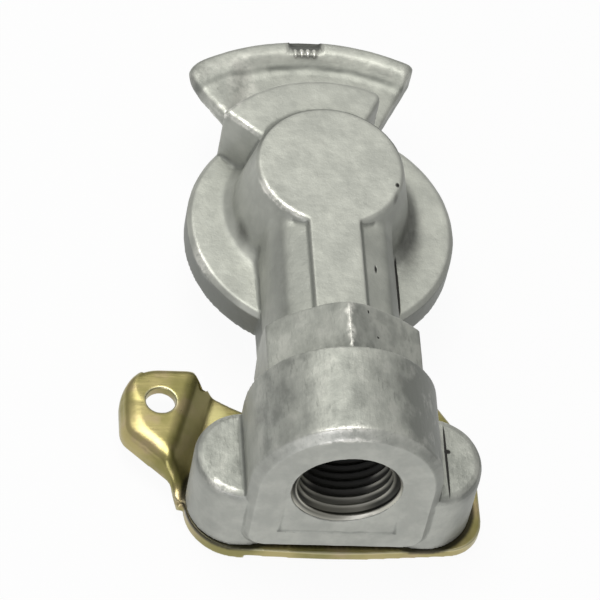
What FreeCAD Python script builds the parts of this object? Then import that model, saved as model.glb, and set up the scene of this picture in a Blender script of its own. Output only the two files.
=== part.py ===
import FreeCAD, Part
import math
import os
import Sketcher

# Gladhand air brake coupler, in millimetres.
# The origin is the centre of the coupling face, the flat underside of the disc.
# +Z points to the back of the casting, and the hose port opens towards -Y.
# Plan angles are measured at the origin from +Y, and the sides "left" and "right" are -X and +X.

SIZES = [
    # Disc round the seal
    ("disc_radius", 27.5),
    ("disc_thickness", 6.8),
    ("disc_edge", 1.0),
    # Dome over the air chamber, with its round flat top
    ("boss_radius", 15.0),
    ("boss_top", 22.4),
    ("boss_centre", 3.2),
    ("boss_edge", 0.6),
    ("dome_foot_radius", 18.6),
    ("dome_foot_blend", 1.5),
    # Neck between dome and port, with the flat rib along its back
    ("rib_width", 10.4),
    ("rib_height", 0.9),
    ("neck_width", 28.4),
    ("neck_side_lean", 1.5),
    ("neck_shoulder_height", 16.0),
    ("neck_facet_width", 21.4),
    ("neck_facet_height", 19.7),
    ("neck_underside", 1.0),
    ("neck_edge", 1.6),
    # Hexagon for the wrench and the round port behind it
    ("port_height", 12.0),
    ("port_face", 69.0),
    ("hex_start", 35.2),
    ("hex_flats", 30.7),
    ("hex_chamfer_angle", 30.0),
    ("hex_chamfer_flat", 0.25),
    ("barrel_start", 47.9),
    ("barrel_radius", 18.9),
    ("barrel_edge", 1.8),
    ("barrel_foot", 8.7),
    ("barrel_foot_corner", 5.0),
    ("mark_width", 23.6),
    ("mark_depth", 0.2),
    ("mark_foot", 2.6),
    # Pipe thread of the port, as its plain bore, and the air passage
    ("thread_radius", 10.67),
    ("thread_depth", 17.0),
    ("mouth_radius", 10.95),
    ("passage_radius", 6.5),
    ("drill_mark", 0.4),
    ("chamber_radius", 10.0),
    ("chamber_roof", 3.6),
    # Two ears that carry the plate
    ("ear_spacing", 36.2),
    ("ear_offset", 57.4),
    ("ear_radius", 10.4),
    ("ear_top_height", 7.2),
    ("ear_edge", 1.6),
    # Way that the mating lug takes between casting and plate
    ("way_radius", 47.7),
    # Shoulder that joins dome and lug
    ("shoulder_radius", 27.3),
    ("shoulder_top", 20.4),
    ("shoulder_left", 49.0),
    ("shoulder_right", 27.8),
    ("shoulder_edge", 1.1),
    ("shoulder_corner", 2.0),
    # Coupling lug: a sector with a raised bead along its rim
    ("lug_radius", 47.0),
    ("lug_top", 9.6),
    ("lug_thickness", 5.6),
    ("lug_left", 36.3),
    ("lug_right", 28.5),
    ("lug_left_corner", 6.0),
    ("lug_right_corner", 2.0),
    ("bead_width", 7.5),
    ("bead_round", 1.3),
    ("land_depth", 1.7),
    ("land_run", 2.6),
    ("land_left_angle", 21.0),
    ("land_right_angle", 38.0),
    ("land_left_drift", 4.2),
    ("land_overlap", 4.5),
    ("lead_start", 6.0),
    ("lead_reach", 30.0),
    ("lead_lift", 3.6),
    # Notch in the bead that the detent of the mating plate snaps into
    ("notch_width", 6.6),
    ("notch_depth", 1.2),
    ("notch_length", 3.0),
    ("notch_ramp", 2.6),
    ("notch_offset", 0.9),
    ("tooth_count", 5),
    ("tooth_width", 0.9),
    ("tooth_length", 2.8),
    ("tooth_height", 0.6),
    ("tooth_pitch_angle", 1.75),
    # Seal and its groove in the coupling face
    ("seal_bore", 9.6),
    ("seal_body_radius", 15.6),
    ("seal_flange_radius", 17.4),
    ("seal_flange_height", 1.5),
    ("seal_groove_floor", 3.6),
    ("seal_stand", 1.3),
    ("seal_face_inner", 11.0),
    ("seal_lip_height", 0.5),
    ("seal_bevel", 0.6),
    ("seal_clearance", 0.1),
    # Connector plate of pressed steel
    ("plate_thickness", 2.3),
    ("plate_inner_radius", 39.0),
    ("plate_left", 28.7),
    ("plate_left_shoulder", 56.0),
    ("plate_waist", 27.2),
    ("plate_waist_offset", 50.0),
    ("plate_left_tip", 23.6),
    ("plate_tips", 28.0),
    ("plate_right", 30.6),
    ("plate_right_shoulder", 44.0),
    ("plate_right_tip", 21.0),
    ("plate_shoulder_round", 6.0),
    ("plate_front", 69.3),
    ("plate_front_side", 67.2),
    ("plate_front_middle", 2.0),
    ("plate_front_round", 150.0),
    ("plate_corner", 7.5),
    ("plate_left_front", 68.0),
    ("plate_left_corner", 10.8),
    # Detent pressed up out of the plate
    ("detent_radius", 3.2),
    ("detent_flat", 1.2),
    ("detent_height", 1.0),
    ("detent_shoulder", 2.4),
    # Raised tab with its hole and turned-down rim
    ("tab_lift", 5.1),
    ("tab_ramp_run", 4.3),
    ("tab_ramp_angle", 17.0),
    ("tab_foot_x", 19.7),
    ("tab_foot_y", 25.2),
    ("tab_foot_overlap", 6.0),
    ("tab_length", 38.0),
    ("tab_reach", 25.0),
    ("tab_bend", 1.5),
    ("tab_hole_x", 33.0),
    ("tab_hole_y", 36.8),
    ("tab_hole_radius", 3.0),
    ("tab_side", 41.1),
    ("tab_rear", 28.9),
    ("tab_rear_shoulder", 25.2),
    ("tab_rear_root", 30.4),
    ("tab_root", 18.0),
    ("tab_front", 43.9),
    ("tab_waist_x", 31.5),
    ("tab_waist_y", 53.0),
    ("tab_tip_x", 30.1),
    ("tab_tip_y", 58.4),
    ("tab_rear_round", 8.1),
    ("tab_front_round", 5.0),
    ("tab_waist_round", 4.0),
    ("rim_height", 5.4),
    ("rim_round", 1.3),
    # Turned-down lip at the front left corner
    ("lip_depth", 0.9),
    ("lip_end", 17.0),
    ("lip_start", 57.5),
    # Rivets
    ("rivet_radius", 3.0),
    ("rivet_grip", 7.0),
    ("rivet_head_radius", 5.4),
    ("rivet_head_height", 2.0),
    ("rivet_head_shoulder", 4.6),
    ("rivet_head_side", 1.3),
    ("rivet_head_flat", 2.7),
    # Margins of cuts beyond the solid, and shares that place a bend or a bevel
    ("hex_sink", 0.5),
    ("cut_margin", 1.0),
    ("way_drop", 2.0),
    ("mark_rise", 3.0),
    ("round_share", 0.29),
    ("notch_ramp_share", 0.4),
    ("rim_front_share", 0.43),
    ("rim_waist_x_share", 0.89),
    ("rim_waist_y_share", 0.535),
    ("rim_tip_share", 1.035),
    ("detent_bevel_share", 0.75),
    ("tooth_gap", 0.2),
    ("tooth_sink", 0.6),
    ("tooth_stand", 0.5),
]


# Sizes that follow from the driving ones
DERIVED = [
    ("neck_half", "=neck_width / 2"),
    ("neck_upper_half", "=neck_width / 2 - neck_side_lean"),
    ("neck_facet_half", "=neck_facet_width / 2"),
    ("rib_half", "=rib_width / 2"),
    ("neck_top", "=boss_top - rib_height"),
    ("rib_root", "=boss_top - rib_height - 2"),
    ("neck_length", "=barrel_start + 0.5"),
    ("rib_length", "=hex_start + 0.5"),
    ("hex_half", "=hex_flats / 2"),
    ("hex_corner", "=hex_flats / sqrt(3)"),
    ("hex_top", "=port_height + hex_corner"),
    ("hex_upper", "=port_height + hex_corner / 2"),
    ("hex_lower", "=port_height - hex_corner / 2"),
    ("hex_foot", "=hex_corner - port_height"),
    ("hex_length", "=barrel_start - hex_start + hex_sink"),
    ("hex_turned", "=hex_half + hex_chamfer_flat"),
    ("hex_outside", "=hex_corner + cut_margin"),
    ("hex_chamfer_end", "=hex_start + (hex_outside - hex_turned) * tan(hex_chamfer_angle)"),
    ("barrel_length", "=port_face - barrel_start"),
    ("mark_half", "=mark_width / 2"),
    ("mark_top", "=port_height + mark_rise"),
    ("passage_start", "=port_face - thread_depth"),
    ("passage_length", "=passage_start + chamber_radius + drill_mark"),
    ("chamber_top", "=boss_top - chamber_roof"),
    ("mouth_depth", "=port_face - mouth_radius + thread_radius"),
    ("port_out", "=port_face + cut_margin"),
    ("dome_root", "=disc_thickness / 2"),
    ("dome_skirt", "=dome_foot_radius + dome_foot_blend"),
    ("dome_foot_top", "=disc_thickness + dome_foot_blend"),
    ("dome_draft", "=(dome_foot_radius - boss_radius) / (boss_top - disc_thickness)"),
    ("dome_foot_side", "=dome_foot_radius - dome_draft * dome_foot_blend"),
    ("plate_level", "=lug_top"),
    ("ear_x", "=ear_spacing / 2"),
    ("ear_side", "=ear_top_height - ear_edge"),
    ("ear_bevel", "=ear_radius - ear_edge * round_share"),
    ("ear_bevel_level", "=ear_top_height - ear_edge * round_share"),
    ("ear_flat", "=ear_radius - ear_edge"),
    ("disc_side", "=disc_thickness - disc_edge"),
    ("disc_flat", "=disc_radius - disc_edge"),
    ("boss_side", "=boss_top - boss_edge"),
    ("boss_side_radius", "=boss_radius + dome_draft * boss_edge"),
    ("boss_flat", "=boss_radius - boss_edge"),
    ("seal_side", "=seal_stand - seal_bevel"),
    ("seal_flat", "=seal_body_radius - seal_bevel"),
    ("groove_radius", "=seal_body_radius + seal_clearance"),
    ("groove_flange_radius", "=seal_flange_radius + seal_clearance"),
    ("groove_lip", "=seal_groove_floor - seal_flange_height - seal_clearance"),
    ("way_inner", "=disc_radius + cut_margin"),
    ("way_floor", "=plate_level + way_drop"),
    ("face_out", "=seal_stand + cut_margin"),
    ("shoulder_root", "=disc_thickness / 2"),
    ("shoulder_inner", "=boss_radius / 2"),
    ("lug_bottom", "=lug_top - lug_thickness"),
    ("lug_inner", "=disc_radius / 3"),
    ("land_slope", "=-atan(land_run / land_depth)"),
    ("land_outer", "=lug_radius - bead_width + land_run"),
    ("land_left_x", "=land_outer * sin(land_left_angle)"),
    ("land_left_y", "=land_outer * cos(land_left_angle)"),
    ("land_right_x", "=land_outer * sin(land_right_angle)"),
    ("land_right_y", "=land_outer * cos(land_right_angle)"),
    ("land_in_left_x", "=land_left_x + land_left_drift"),
    ("land_in_right_x", "=land_right_x - land_left_drift"),
    ("land_in_y", "=shoulder_radius - land_overlap"),
    ("lead_base", "=lug_bottom - cut_margin"),
    ("lead_end", "=lug_bottom + lead_lift"),
    ("notch_side", "=notch_width / 2 - notch_offset"),
    ("notch_inner", "=lug_radius - notch_length - notch_ramp"),
    ("notch_bend", "=lug_radius - notch_ramp"),
    ("notch_middle", "=lug_top - notch_depth * notch_ramp_share"),
    ("notch_outer", "=lug_radius + cut_margin"),
    ("notch_floor", "=lug_top - notch_depth"),
    ("notch_above", "=lug_top + cut_margin"),
    ("seal_flange_level", "=seal_groove_floor - seal_flange_height"),
    ("plate_foot", "=plate_level + plate_thickness"),
    ("tab_level", "=plate_level - tab_lift"),
    ("tab_slope", "=sqrt(tab_ramp_run ^ 2 + tab_lift ^ 2)"),
    ("tab_under", "=tab_level + plate_thickness"),
    ("tab_bend_shift", "=plate_thickness * (tab_slope - tab_ramp_run) / tab_lift"),
    ("tab_ramp_under", "=tab_ramp_run + tab_bend_shift"),
    ("tab_outer_bend", "=tab_bend + plate_thickness"),
    ("tab_turn", "=-tab_ramp_angle"),
    ("rim_level", "=tab_level + rim_height"),
    ("rim_side", "=tab_side - plate_thickness"),
    ("rim_rear", "=tab_rear + plate_thickness"),
    ("rim_front", "=tab_front - plate_thickness * rim_front_share"),
    ("rim_waist_x", "=tab_waist_x - plate_thickness * rim_waist_x_share"),
    ("rim_waist_y", "=tab_waist_y - plate_thickness * rim_waist_y_share"),
    ("rim_tip_x", "=tab_tip_x - plate_thickness * rim_tip_share"),
    ("rim_rear_round", "=tab_rear_round - plate_thickness"),
    ("rim_front_round", "=tab_front_round - plate_thickness"),
    ("rim_waist_round", "=tab_waist_round + plate_thickness"),
    ("lip_side", "=plate_left - plate_thickness"),
    ("lip_height", "=lip_depth + plate_thickness / 2"),
    ("lip_slope", "=(plate_front - plate_left_front) / (plate_left + plate_front_middle)"),
    ("lip_end_front", "=plate_left_front + (plate_left - lip_end) * lip_slope"),
    ("lip_end_back", "=lip_end_front - plate_thickness"),
    ("plate_middle", "=plate_level + plate_thickness / 2"),
    ("dimple_radius", "=detent_radius - plate_thickness / 4"),
    ("dimple_flat", "=detent_flat - plate_thickness / 4"),
    ("lip_front", "=plate_left_front - plate_thickness"),
    ("lip_round", "=plate_left_corner - plate_thickness"),
    ("lip_foot", "=plate_foot + lip_depth"),
    ("clear_out", "=tab_side + tab_reach"),
    ("clear_front", "=tab_tip_y + tab_reach"),
    ("clear_level", "=-tab_level + tab_lift"),
    ("detent_top", "=plate_level - detent_height"),
    ("detent_under", "=plate_foot - detent_height"),
    ("detent_bevel_level", "=plate_level - detent_height * detent_bevel_share"),
    ("detent_offset", "=lug_radius - notch_length / 2 - notch_ramp / 2"),
    ("rivet_top", "=plate_level - rivet_grip"),
    ("rivet_foot", "=plate_foot + rivet_head_height"),
    ("rivet_waist", "=plate_foot + rivet_head_side"),
    ("tooth_half", "=tooth_width / 2"),
    ("tooth_inner", "=notch_inner + tooth_gap"),
    ("tooth_outer", "=tooth_inner + tooth_length"),
    ("tooth_root", "=lug_top - tooth_height - tooth_sink"),
    ("tooth_rise", "=tooth_height + tooth_stand"),
    ("tooth_spread", "=tooth_pitch_angle * (tooth_count - 1)"),
    ("tooth_start", "=asin(notch_offset / lug_radius) - tooth_spread / 2 * 1 deg"),
]


def make_sheet(doc):
    sheet = doc.addObject("Spreadsheet::Sheet", "Sizes")
    row = 1
    for name, number in SIZES:
        sheet.set(f"A{row}", name)
        sheet.set(f"B{row}", str(number))
        sheet.setAlias(f"B{row}", name)
        row += 1
    for name, formula in DERIVED:
        sheet.set(f"A{row}", name)
        sheet.set(f"B{row}", formula)
        sheet.setAlias(f"B{row}", name)
        row += 1
    doc.recompute()
    return sheet


def name_value(sheet, name):
    """Number of a named size; a leading minus sign negates it, and "0" is zero."""
    if name == "0":
        return 0.0
    if name.startswith("-"):
        return -float(getattr(sheet, name[1:]))
    return float(getattr(sheet, name))


def name_expression(name):
    if name.startswith("-"):
        return "-Sizes." + name[1:]
    return "Sizes." + name


class Builder:
    """Adds features to one body and binds their sizes to the sheet."""

    def __init__(self, doc, sheet, label):
        self.doc = doc
        self.sheet = sheet
        self.body = doc.addObject("PartDesign::Body", label)
        self.body.Label = label
        self.planes = {plane.Role: plane for plane in self.body.Origin.OriginFeatures}

    def value(self, name):
        return name_value(self.sheet, name)

    def sketch(self, label, plane, shift=(), turn=None):
        """Sketch on an origin plane; shift names its offset along the sketch's own x, y and z."""
        sketch = self.body.newObject("Sketcher::SketchObject", label)
        sketch.AttachmentSupport = (self.planes[plane], [""])
        sketch.MapMode = "FlatFace"
        if turn:
            axis, angle = turn
            sketch.AttachmentOffset = FreeCAD.Placement(FreeCAD.Vector(), FreeCAD.Rotation(axis, 1))
            sketch.setExpression("AttachmentOffset.Rotation.Angle", name_expression(angle))
        for letter, name in zip("xyz", shift):
            if name != "0":
                sketch.setExpression("AttachmentOffset.Base." + letter, name_expression(name))
        return sketch

    def pin(self, sketch, geometry, position, x_name, y_name):
        """Places one point of the sketch at two named sizes."""
        for kind, name, zero_axis in (("DistanceX", x_name, -2), ("DistanceY", y_name, -1)):
            if name == "0":
                sketch.addConstraint(Sketcher.Constraint("PointOnObject", geometry, position, zero_axis))
            else:
                number = self.value(name)
                index = sketch.addConstraint(
                    Sketcher.Constraint(kind, -1, 1, geometry, position, number))
                sketch.setExpression(f"Constraints[{index}]", name_expression(name))

    def circle(self, sketch, x_name, y_name, radius_name):
        centre = FreeCAD.Vector(self.value(x_name), self.value(y_name), 0)
        shape = Part.Circle(centre, FreeCAD.Vector(0, 0, 1), self.value(radius_name))
        index = sketch.addGeometry(shape, False)
        if x_name == "0" and y_name == "0":
            sketch.addConstraint(Sketcher.Constraint("Coincident", index, 3, -1, 1))
        else:
            self.pin(sketch, index, 3, x_name, y_name)
        radius = sketch.addConstraint(Sketcher.Constraint("Radius", index, self.value(radius_name)))
        sketch.setExpression(f"Constraints[{radius}]", name_expression(radius_name))

    def outline(self, sketch, corners, closed=True):
        """Draws straight edges between named corners.

        A corner is (x, y) or (x, y, radius): a corner with a radius is rounded by a tangent arc.
        """
        count = len(corners)
        points = [FreeCAD.Vector(self.value(c[0]), self.value(c[1]), 0) for c in corners]
        marks = []
        for corner, point in zip(corners, points):
            mark = sketch.addGeometry(Part.Point(point), True)
            self.pin(sketch, mark, 1, corner[0], corner[1])
            marks.append(mark)
        leave = []
        arrive = []
        arcs = {}
        for i, corner in enumerate(corners):
            point = points[i]
            if len(corner) < 3 or (not closed and i in (0, count - 1)):
                leave.append(point)
                arrive.append(point)
                continue
            before = (points[i - 1] - point).normalize()
            after = (points[(i + 1) % count] - point).normalize()
            half = before.getAngle(after) / 2
            radius = self.value(corner[2])
            arrive.append(point + before * (radius / math.tan(half)))
            leave.append(point + after * (radius / math.tan(half)))
            middle = (before + after).normalize()
            arcs[i] = (point + middle * (radius / math.sin(half)), radius, before.cross(after).z < 0)
        lines = []
        edges = count if closed else count - 1
        for i in range(edges):
            j = (i + 1) % count
            lines.append(sketch.addGeometry(Part.LineSegment(leave[i], arrive[j]), False))
        for i in range(count):
            if i in arcs:
                centre, radius, anticlockwise = arcs[i]
                first, last = (arrive[i], leave[i]) if anticlockwise else (leave[i], arrive[i])
                start = math.atan2(first.y - centre.y, first.x - centre.x)
                end = math.atan2(last.y - centre.y, last.x - centre.x)
                arc = Part.ArcOfCircle(Part.Circle(centre, FreeCAD.Vector(0, 0, 1), radius), start, end)
                index = sketch.addGeometry(arc, False)
                near, far = (1, 2) if anticlockwise else (2, 1)
                line_in = lines[i - 1]
                line_out = lines[i]
                sketch.addConstraint(Sketcher.Constraint("Tangent", line_in, 2, index, near))
                sketch.addConstraint(Sketcher.Constraint("Tangent", index, far, line_out, 1))
                sketch.addConstraint(Sketcher.Constraint("PointOnObject", marks[i], 1, line_in))
                sketch.addConstraint(Sketcher.Constraint("PointOnObject", marks[i], 1, line_out))
                size = sketch.addConstraint(Sketcher.Constraint("Radius", index, radius))
                sketch.setExpression(f"Constraints[{size}]", name_expression(corners[i][2]))
            else:
                if closed or i > 0:
                    sketch.addConstraint(
                        Sketcher.Constraint("Coincident", lines[i - 1], 2, marks[i], 1))
                if closed or i < count - 1:
                    sketch.addConstraint(Sketcher.Constraint("Coincident", lines[i], 1, marks[i], 1))
        return lines

    def feature(self, kind, label, sketch):
        feature = self.body.newObject("PartDesign::" + kind, label)
        feature.Profile = sketch
        return feature

    def finish(self, feature, grows):
        """Recomputes and makes sure that the feature changed the solid the right way."""
        before = self.volume_before
        self.doc.recompute()
        change = feature.Shape.Volume - before
        if (change > 0) != grows or not feature.Shape.isValid():
            raise RuntimeError(f"{feature.Label} changed the volume by {change:.3f}")
        return feature

    @property
    def volume_before(self):
        tip = self.tip_shape
        return tip.Volume if tip else 0.0

    tip_shape = None

    def commit(self, feature, grows=True):
        self.finish(feature, grows)
        self.tip_shape = feature.Shape
        self.body.Tip = feature
        return feature

    def pad(self, label, sketch, length, reversed_side=False, taper=None):
        pad = self.feature("Pad", label, sketch)
        pad.setExpression("Length", name_expression(length))
        pad.Reversed = reversed_side
        if taper:
            pad.setExpression("TaperAngle", name_expression(taper))
        return self.commit(pad)

    def pocket(self, label, sketch, length, reversed_side=False, taper=None):
        pocket = self.feature("Pocket", label, sketch)
        pocket.setExpression("Length", name_expression(length))
        pocket.Reversed = reversed_side
        if taper:
            pocket.setExpression("TaperAngle", name_expression(taper))
        return self.commit(pocket, grows=False)

    def turn(self, label, sketch, axis="V_Axis", cut=False, sector=None):
        kind = "Groove" if cut else "Revolution"
        turned = self.feature(kind, label, sketch)
        turned.ReferenceAxis = (sketch, [axis])
        if sector:
            turned.Type = "TwoAngles"
            turned.setExpression("Angle", name_expression(sector[0]))
            turned.setExpression("Angle2", name_expression(sector[1]))
        else:
            turned.Angle = 360
        return self.commit(turned, grows=not cut)

    def mirror(self, label, feature, grows=True):
        """Repeats a feature on the other side of the middle plane."""
        mirrored = self.body.newObject("PartDesign::Mirrored", label)
        mirrored.Originals = [feature]
        mirrored.MirrorPlane = (self.planes["YZ_Plane"], [""])
        return self.commit(mirrored, grows)

    def fan(self, label, feature, sketch, angle, count):
        """Repeats a feature round the axis of its sketch."""
        pattern = self.body.newObject("PartDesign::PolarPattern", label)
        pattern.Originals = [feature]
        pattern.Axis = (sketch, ["N_Axis"])
        pattern.setExpression("Angle", name_expression(angle))
        pattern.setExpression("Occurrences", name_expression(count))
        return self.commit(pattern)

    def dress_edges(self, label, kind, size_name, size, test):
        """Adds a fillet or chamfer to the edges of the current solid for which test(edge) is true."""
        names = []
        for index, edge in enumerate(self.tip_shape.Edges):
            if test(edge):
                names.append(f"Edge{index + 1}")
        if not names:
            raise RuntimeError(f"{label} found no edge")
        base = self.body.Tip
        dressing = self.body.newObject(kind, label)
        dressing.Base = (base, names)
        dressing.setExpression(size_name, name_expression(size))
        self.doc.recompute()
        if not dressing.Shape.isValid() or "Invalid" in dressing.State:
            raise RuntimeError(f"{label} failed")
        self.tip_shape = dressing.Shape
        self.body.Tip = dressing
        return dressing

    def round_edges(self, label, radius, test):
        return self.dress_edges(label, "PartDesign::Fillet", "Radius", radius, test)

    def bevel_edges(self, label, size, test):
        return self.dress_edges(label, "PartDesign::Chamfer", "Size", size, test)


def middle_of(edge):
    return edge.valueAt((edge.FirstParameter + edge.LastParameter) / 2)


def near(a, b, gap=0.01):
    return abs(a - b) < gap


def plan_radius(point):
    return math.hypot(point.x, point.y)


def plan_angle(point):
    """Angle from +Y in plan, positive towards the left side, -X."""
    return math.degrees(math.atan2(-point.x, point.y))


def build_lug(cast):
    """Coupling lug: a flat sector with a bead along its rim, a sunk land and a detent notch."""
    sketch = cast.sketch("lug_section", "YZ_Plane")
    cast.outline(sketch, [("lug_inner", "lug_bottom"), ("lug_radius", "lug_bottom"),
                          ("lug_radius", "lug_top"), ("lug_inner", "lug_top")])
    cast.turn("lug_sector", sketch, sector=("lug_left", "lug_right"))

    def corner_at(side_angle):
        radius = cast.value("lug_radius")

        def test(edge):
            point = middle_of(edge)
            upright = near(edge.Vertexes[0].X, edge.Vertexes[-1].X) and near(
                edge.Vertexes[0].Y, edge.Vertexes[-1].Y)
            return upright and near(plan_radius(point), radius) and near(
                plan_angle(point), side_angle, 0.1)
        return test

    cast.round_edges("lug_left_round", "lug_left_corner", corner_at(cast.value("lug_left")))
    cast.round_edges("lug_right_round", "lug_right_corner", corner_at(-cast.value("lug_right")))

    top = cast.value("lug_top")
    radius = cast.value("lug_radius")

    def rim(edge):
        point = middle_of(edge)
        ends_up = all(near(vertex.Z, top) for vertex in edge.Vertexes)
        return ends_up and near(point.z, top) and plan_radius(point) > radius / 2

    cast.round_edges("rim_round", "bead_round", rim)

    sketch = cast.sketch("land_outline", "XY_Plane", ("0", "0", "lug_top"))
    draw_land(cast, sketch)
    cast.pocket("land", sketch, "land_depth", taper="land_slope")

    sketch = cast.sketch("lead_in_section", "XZ_Plane", ("0", "0", "-lug_radius"))
    cast.outline(sketch, [("-lead_start", "lead_base"), ("-lead_start", "lug_bottom"),
                          ("-lead_reach", "lead_end"), ("-lead_reach", "lead_base")])
    cast.pocket("lead_in", sketch, "lug_radius", reversed_side=True)

    sketch = cast.sketch("notch_section", "YZ_Plane", ("0", "0", "notch_side"))
    cast.outline(sketch, [("notch_inner", "notch_above"), ("notch_inner", "lug_top"),
                          ("notch_bend", "notch_middle"), ("notch_outer", "notch_floor"),
                          ("notch_outer", "notch_above")])
    cast.pocket("notch", sketch, "notch_width")

    sketch = cast.sketch("tooth_outline", "XY_Plane", ("0", "0", "tooth_root"),
                         turn=(FreeCAD.Vector(0, 0, 1), "tooth_start"))
    cast.outline(sketch, [("-tooth_half", "tooth_inner"), ("tooth_half", "tooth_inner"),
                          ("tooth_half", "tooth_outer"), ("-tooth_half", "tooth_outer")])
    tooth = cast.pad("tooth", sketch, "tooth_rise")
    cast.fan("teeth", tooth, sketch, "tooth_spread", "tooth_count")


def draw_land(cast, sketch):
    """Plan of the sunk land: an arc along the bead, closed inside the shoulder."""
    radius = cast.value("land_outer")
    left = math.radians(cast.value("land_left_angle"))
    right = math.radians(cast.value("land_right_angle"))
    centre = FreeCAD.Vector()
    start = math.pi / 2 - right
    end = math.pi / 2 + left
    arc = sketch.addGeometry(
        Part.ArcOfCircle(Part.Circle(centre, FreeCAD.Vector(0, 0, 1), radius), start, end), False)
    sketch.addConstraint(Sketcher.Constraint("Coincident", arc, 3, -1, 1))
    size = sketch.addConstraint(Sketcher.Constraint("Radius", arc, radius))
    sketch.setExpression(f"Constraints[{size}]", "Sizes.land_outer")
    points = [(cast.value("land_right_x"), cast.value("land_right_y")),
              (cast.value("land_in_right_x"), cast.value("land_in_y")),
              (cast.value("-land_in_left_x"), cast.value("land_in_y")),
              (cast.value("-land_left_x"), cast.value("land_left_y"))]
    lines = []
    for first, last in zip(points, points[1:]):
        lines.append(sketch.addGeometry(
            Part.LineSegment(FreeCAD.Vector(*first, 0), FreeCAD.Vector(*last, 0)), False))
    sketch.addConstraint(Sketcher.Constraint("Coincident", arc, 1, lines[0], 1))
    sketch.addConstraint(Sketcher.Constraint("Coincident", lines[0], 2, lines[1], 1))
    sketch.addConstraint(Sketcher.Constraint("Coincident", lines[1], 2, lines[2], 1))
    sketch.addConstraint(Sketcher.Constraint("Coincident", lines[2], 2, arc, 2))
    cast_pins = ((arc, 1, "land_right_x", None), (lines[1], 1, "land_in_right_x", "land_in_y"),
                 (lines[1], 2, "-land_in_left_x", "land_in_y"), (arc, 2, "-land_left_x", None))
    for geometry, position, x_name, y_name in cast_pins:
        for kind, name in (("DistanceX", x_name), ("DistanceY", y_name)):
            if name:
                index = sketch.addConstraint(
                    Sketcher.Constraint(kind, -1, 1, geometry, position, cast.value(name)))
                sketch.setExpression(f"Constraints[{index}]", name_expression(name))


def build_shoulder(cast):
    """Wedge that ties the dome to the lug, cut off square on its left side."""
    sketch = cast.sketch("shoulder_section", "YZ_Plane")
    cast.outline(sketch, [("shoulder_inner", "shoulder_root"), ("shoulder_radius", "shoulder_root"),
                          ("shoulder_radius", "shoulder_top"), ("shoulder_inner", "shoulder_top")])
    cast.turn("shoulder", sketch, sector=("shoulder_left", "shoulder_right"))
    top = cast.value("shoulder_top")
    radius = cast.value("shoulder_radius")
    right = -cast.value("shoulder_right")

    def right_corner(edge):
        point = middle_of(edge)
        upright = near(edge.Vertexes[0].X, edge.Vertexes[-1].X) and near(
            edge.Vertexes[0].Y, edge.Vertexes[-1].Y)
        reaches_crest = any(near(vertex.Z, top) for vertex in edge.Vertexes)
        return upright and reaches_crest and near(plan_radius(point), radius) and near(
            plan_angle(point), right, 0.1)

    cast.round_edges("shoulder_corner_round", "shoulder_corner", right_corner)

    def crest(edge):
        point = middle_of(edge)
        return near(point.z, top) and plan_radius(point) > radius / 2

    cast.round_edges("shoulder_crest_round", "shoulder_edge", crest)


def build_hexagon(cast):
    """Wrench hexagon, corner up, turned down to a cone at the end next to the dome."""
    sketch = cast.sketch("hexagon_outline", "XZ_Plane", ("0", "0", "hex_start"))
    cast.outline(sketch, [("0", "hex_top"), ("-hex_half", "hex_upper"), ("-hex_half", "hex_lower"),
                          ("0", "-hex_foot"), ("hex_half", "hex_lower"), ("hex_half", "hex_upper")])
    cast.pad("hexagon", sketch, "hex_length")
    sketch = cast.sketch("hexagon_cone_section", "YZ_Plane", ("0", "port_height", "0"))
    cast.outline(sketch, [("-hex_start", "hex_turned"), ("-hex_start", "hex_outside"),
                          ("-hex_chamfer_end", "hex_outside")])
    cast.turn("hexagon_cone", sketch, axis="H_Axis", cut=True)


def build_port(cast):
    """Port block: round above the port axis, straight sides below it."""
    sketch = cast.sketch("port_outline", "XZ_Plane", ("0", "0", "barrel_start"))
    lines = cast.outline(sketch, [("barrel_radius", "port_height"),
                                  ("barrel_radius", "-barrel_foot", "barrel_foot_corner"),
                                  ("-barrel_radius", "-barrel_foot", "barrel_foot_corner"),
                                  ("-barrel_radius", "port_height")], closed=False)
    centre = FreeCAD.Vector(0, cast.value("port_height"), 0)
    circle = Part.Circle(centre, FreeCAD.Vector(0, 0, 1), cast.value("barrel_radius"))
    arc = sketch.addGeometry(Part.ArcOfCircle(circle, 0, math.pi), False)
    sketch.addConstraint(Sketcher.Constraint("Coincident", arc, 1, lines[0], 1))
    sketch.addConstraint(Sketcher.Constraint("Coincident", arc, 2, lines[-1], 2))
    height = sketch.addConstraint(
        Sketcher.Constraint("DistanceY", -1, 1, arc, 3, cast.value("port_height")))
    sketch.setExpression(f"Constraints[{height}]", name_expression("port_height"))
    cast.pad("port_block", sketch, "barrel_length")
    front = -cast.value("port_face")

    def front_edge(edge):
        return all(near(vertex.Y, front) for vertex in edge.Vertexes)

    cast.bevel_edges("port_edge_bevel", "barrel_edge", front_edge)


def build_neck(cast):
    """Neck from the dome to the port block, with sloping facets and a flat rib on its back."""
    sketch = cast.sketch("neck_section", "XZ_Plane")
    right = [("neck_half", "neck_underside"),
             ("neck_upper_half", "neck_shoulder_height", "neck_edge"),
             ("neck_facet_half", "neck_facet_height", "neck_edge"),
             ("rib_half", "neck_top")]
    left = [("-" + corner[0],) + corner[1:] for corner in reversed(right)]
    cast.outline(sketch, right + left)
    cast.pad("neck", sketch, "neck_length")
    sketch = cast.sketch("rib_section", "XZ_Plane")
    cast.outline(sketch, [("-rib_half", "rib_root"), ("rib_half", "rib_root"),
                          ("rib_half", "boss_top"), ("-rib_half", "boss_top")])
    cast.pad("rib", sketch, "rib_length")


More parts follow.
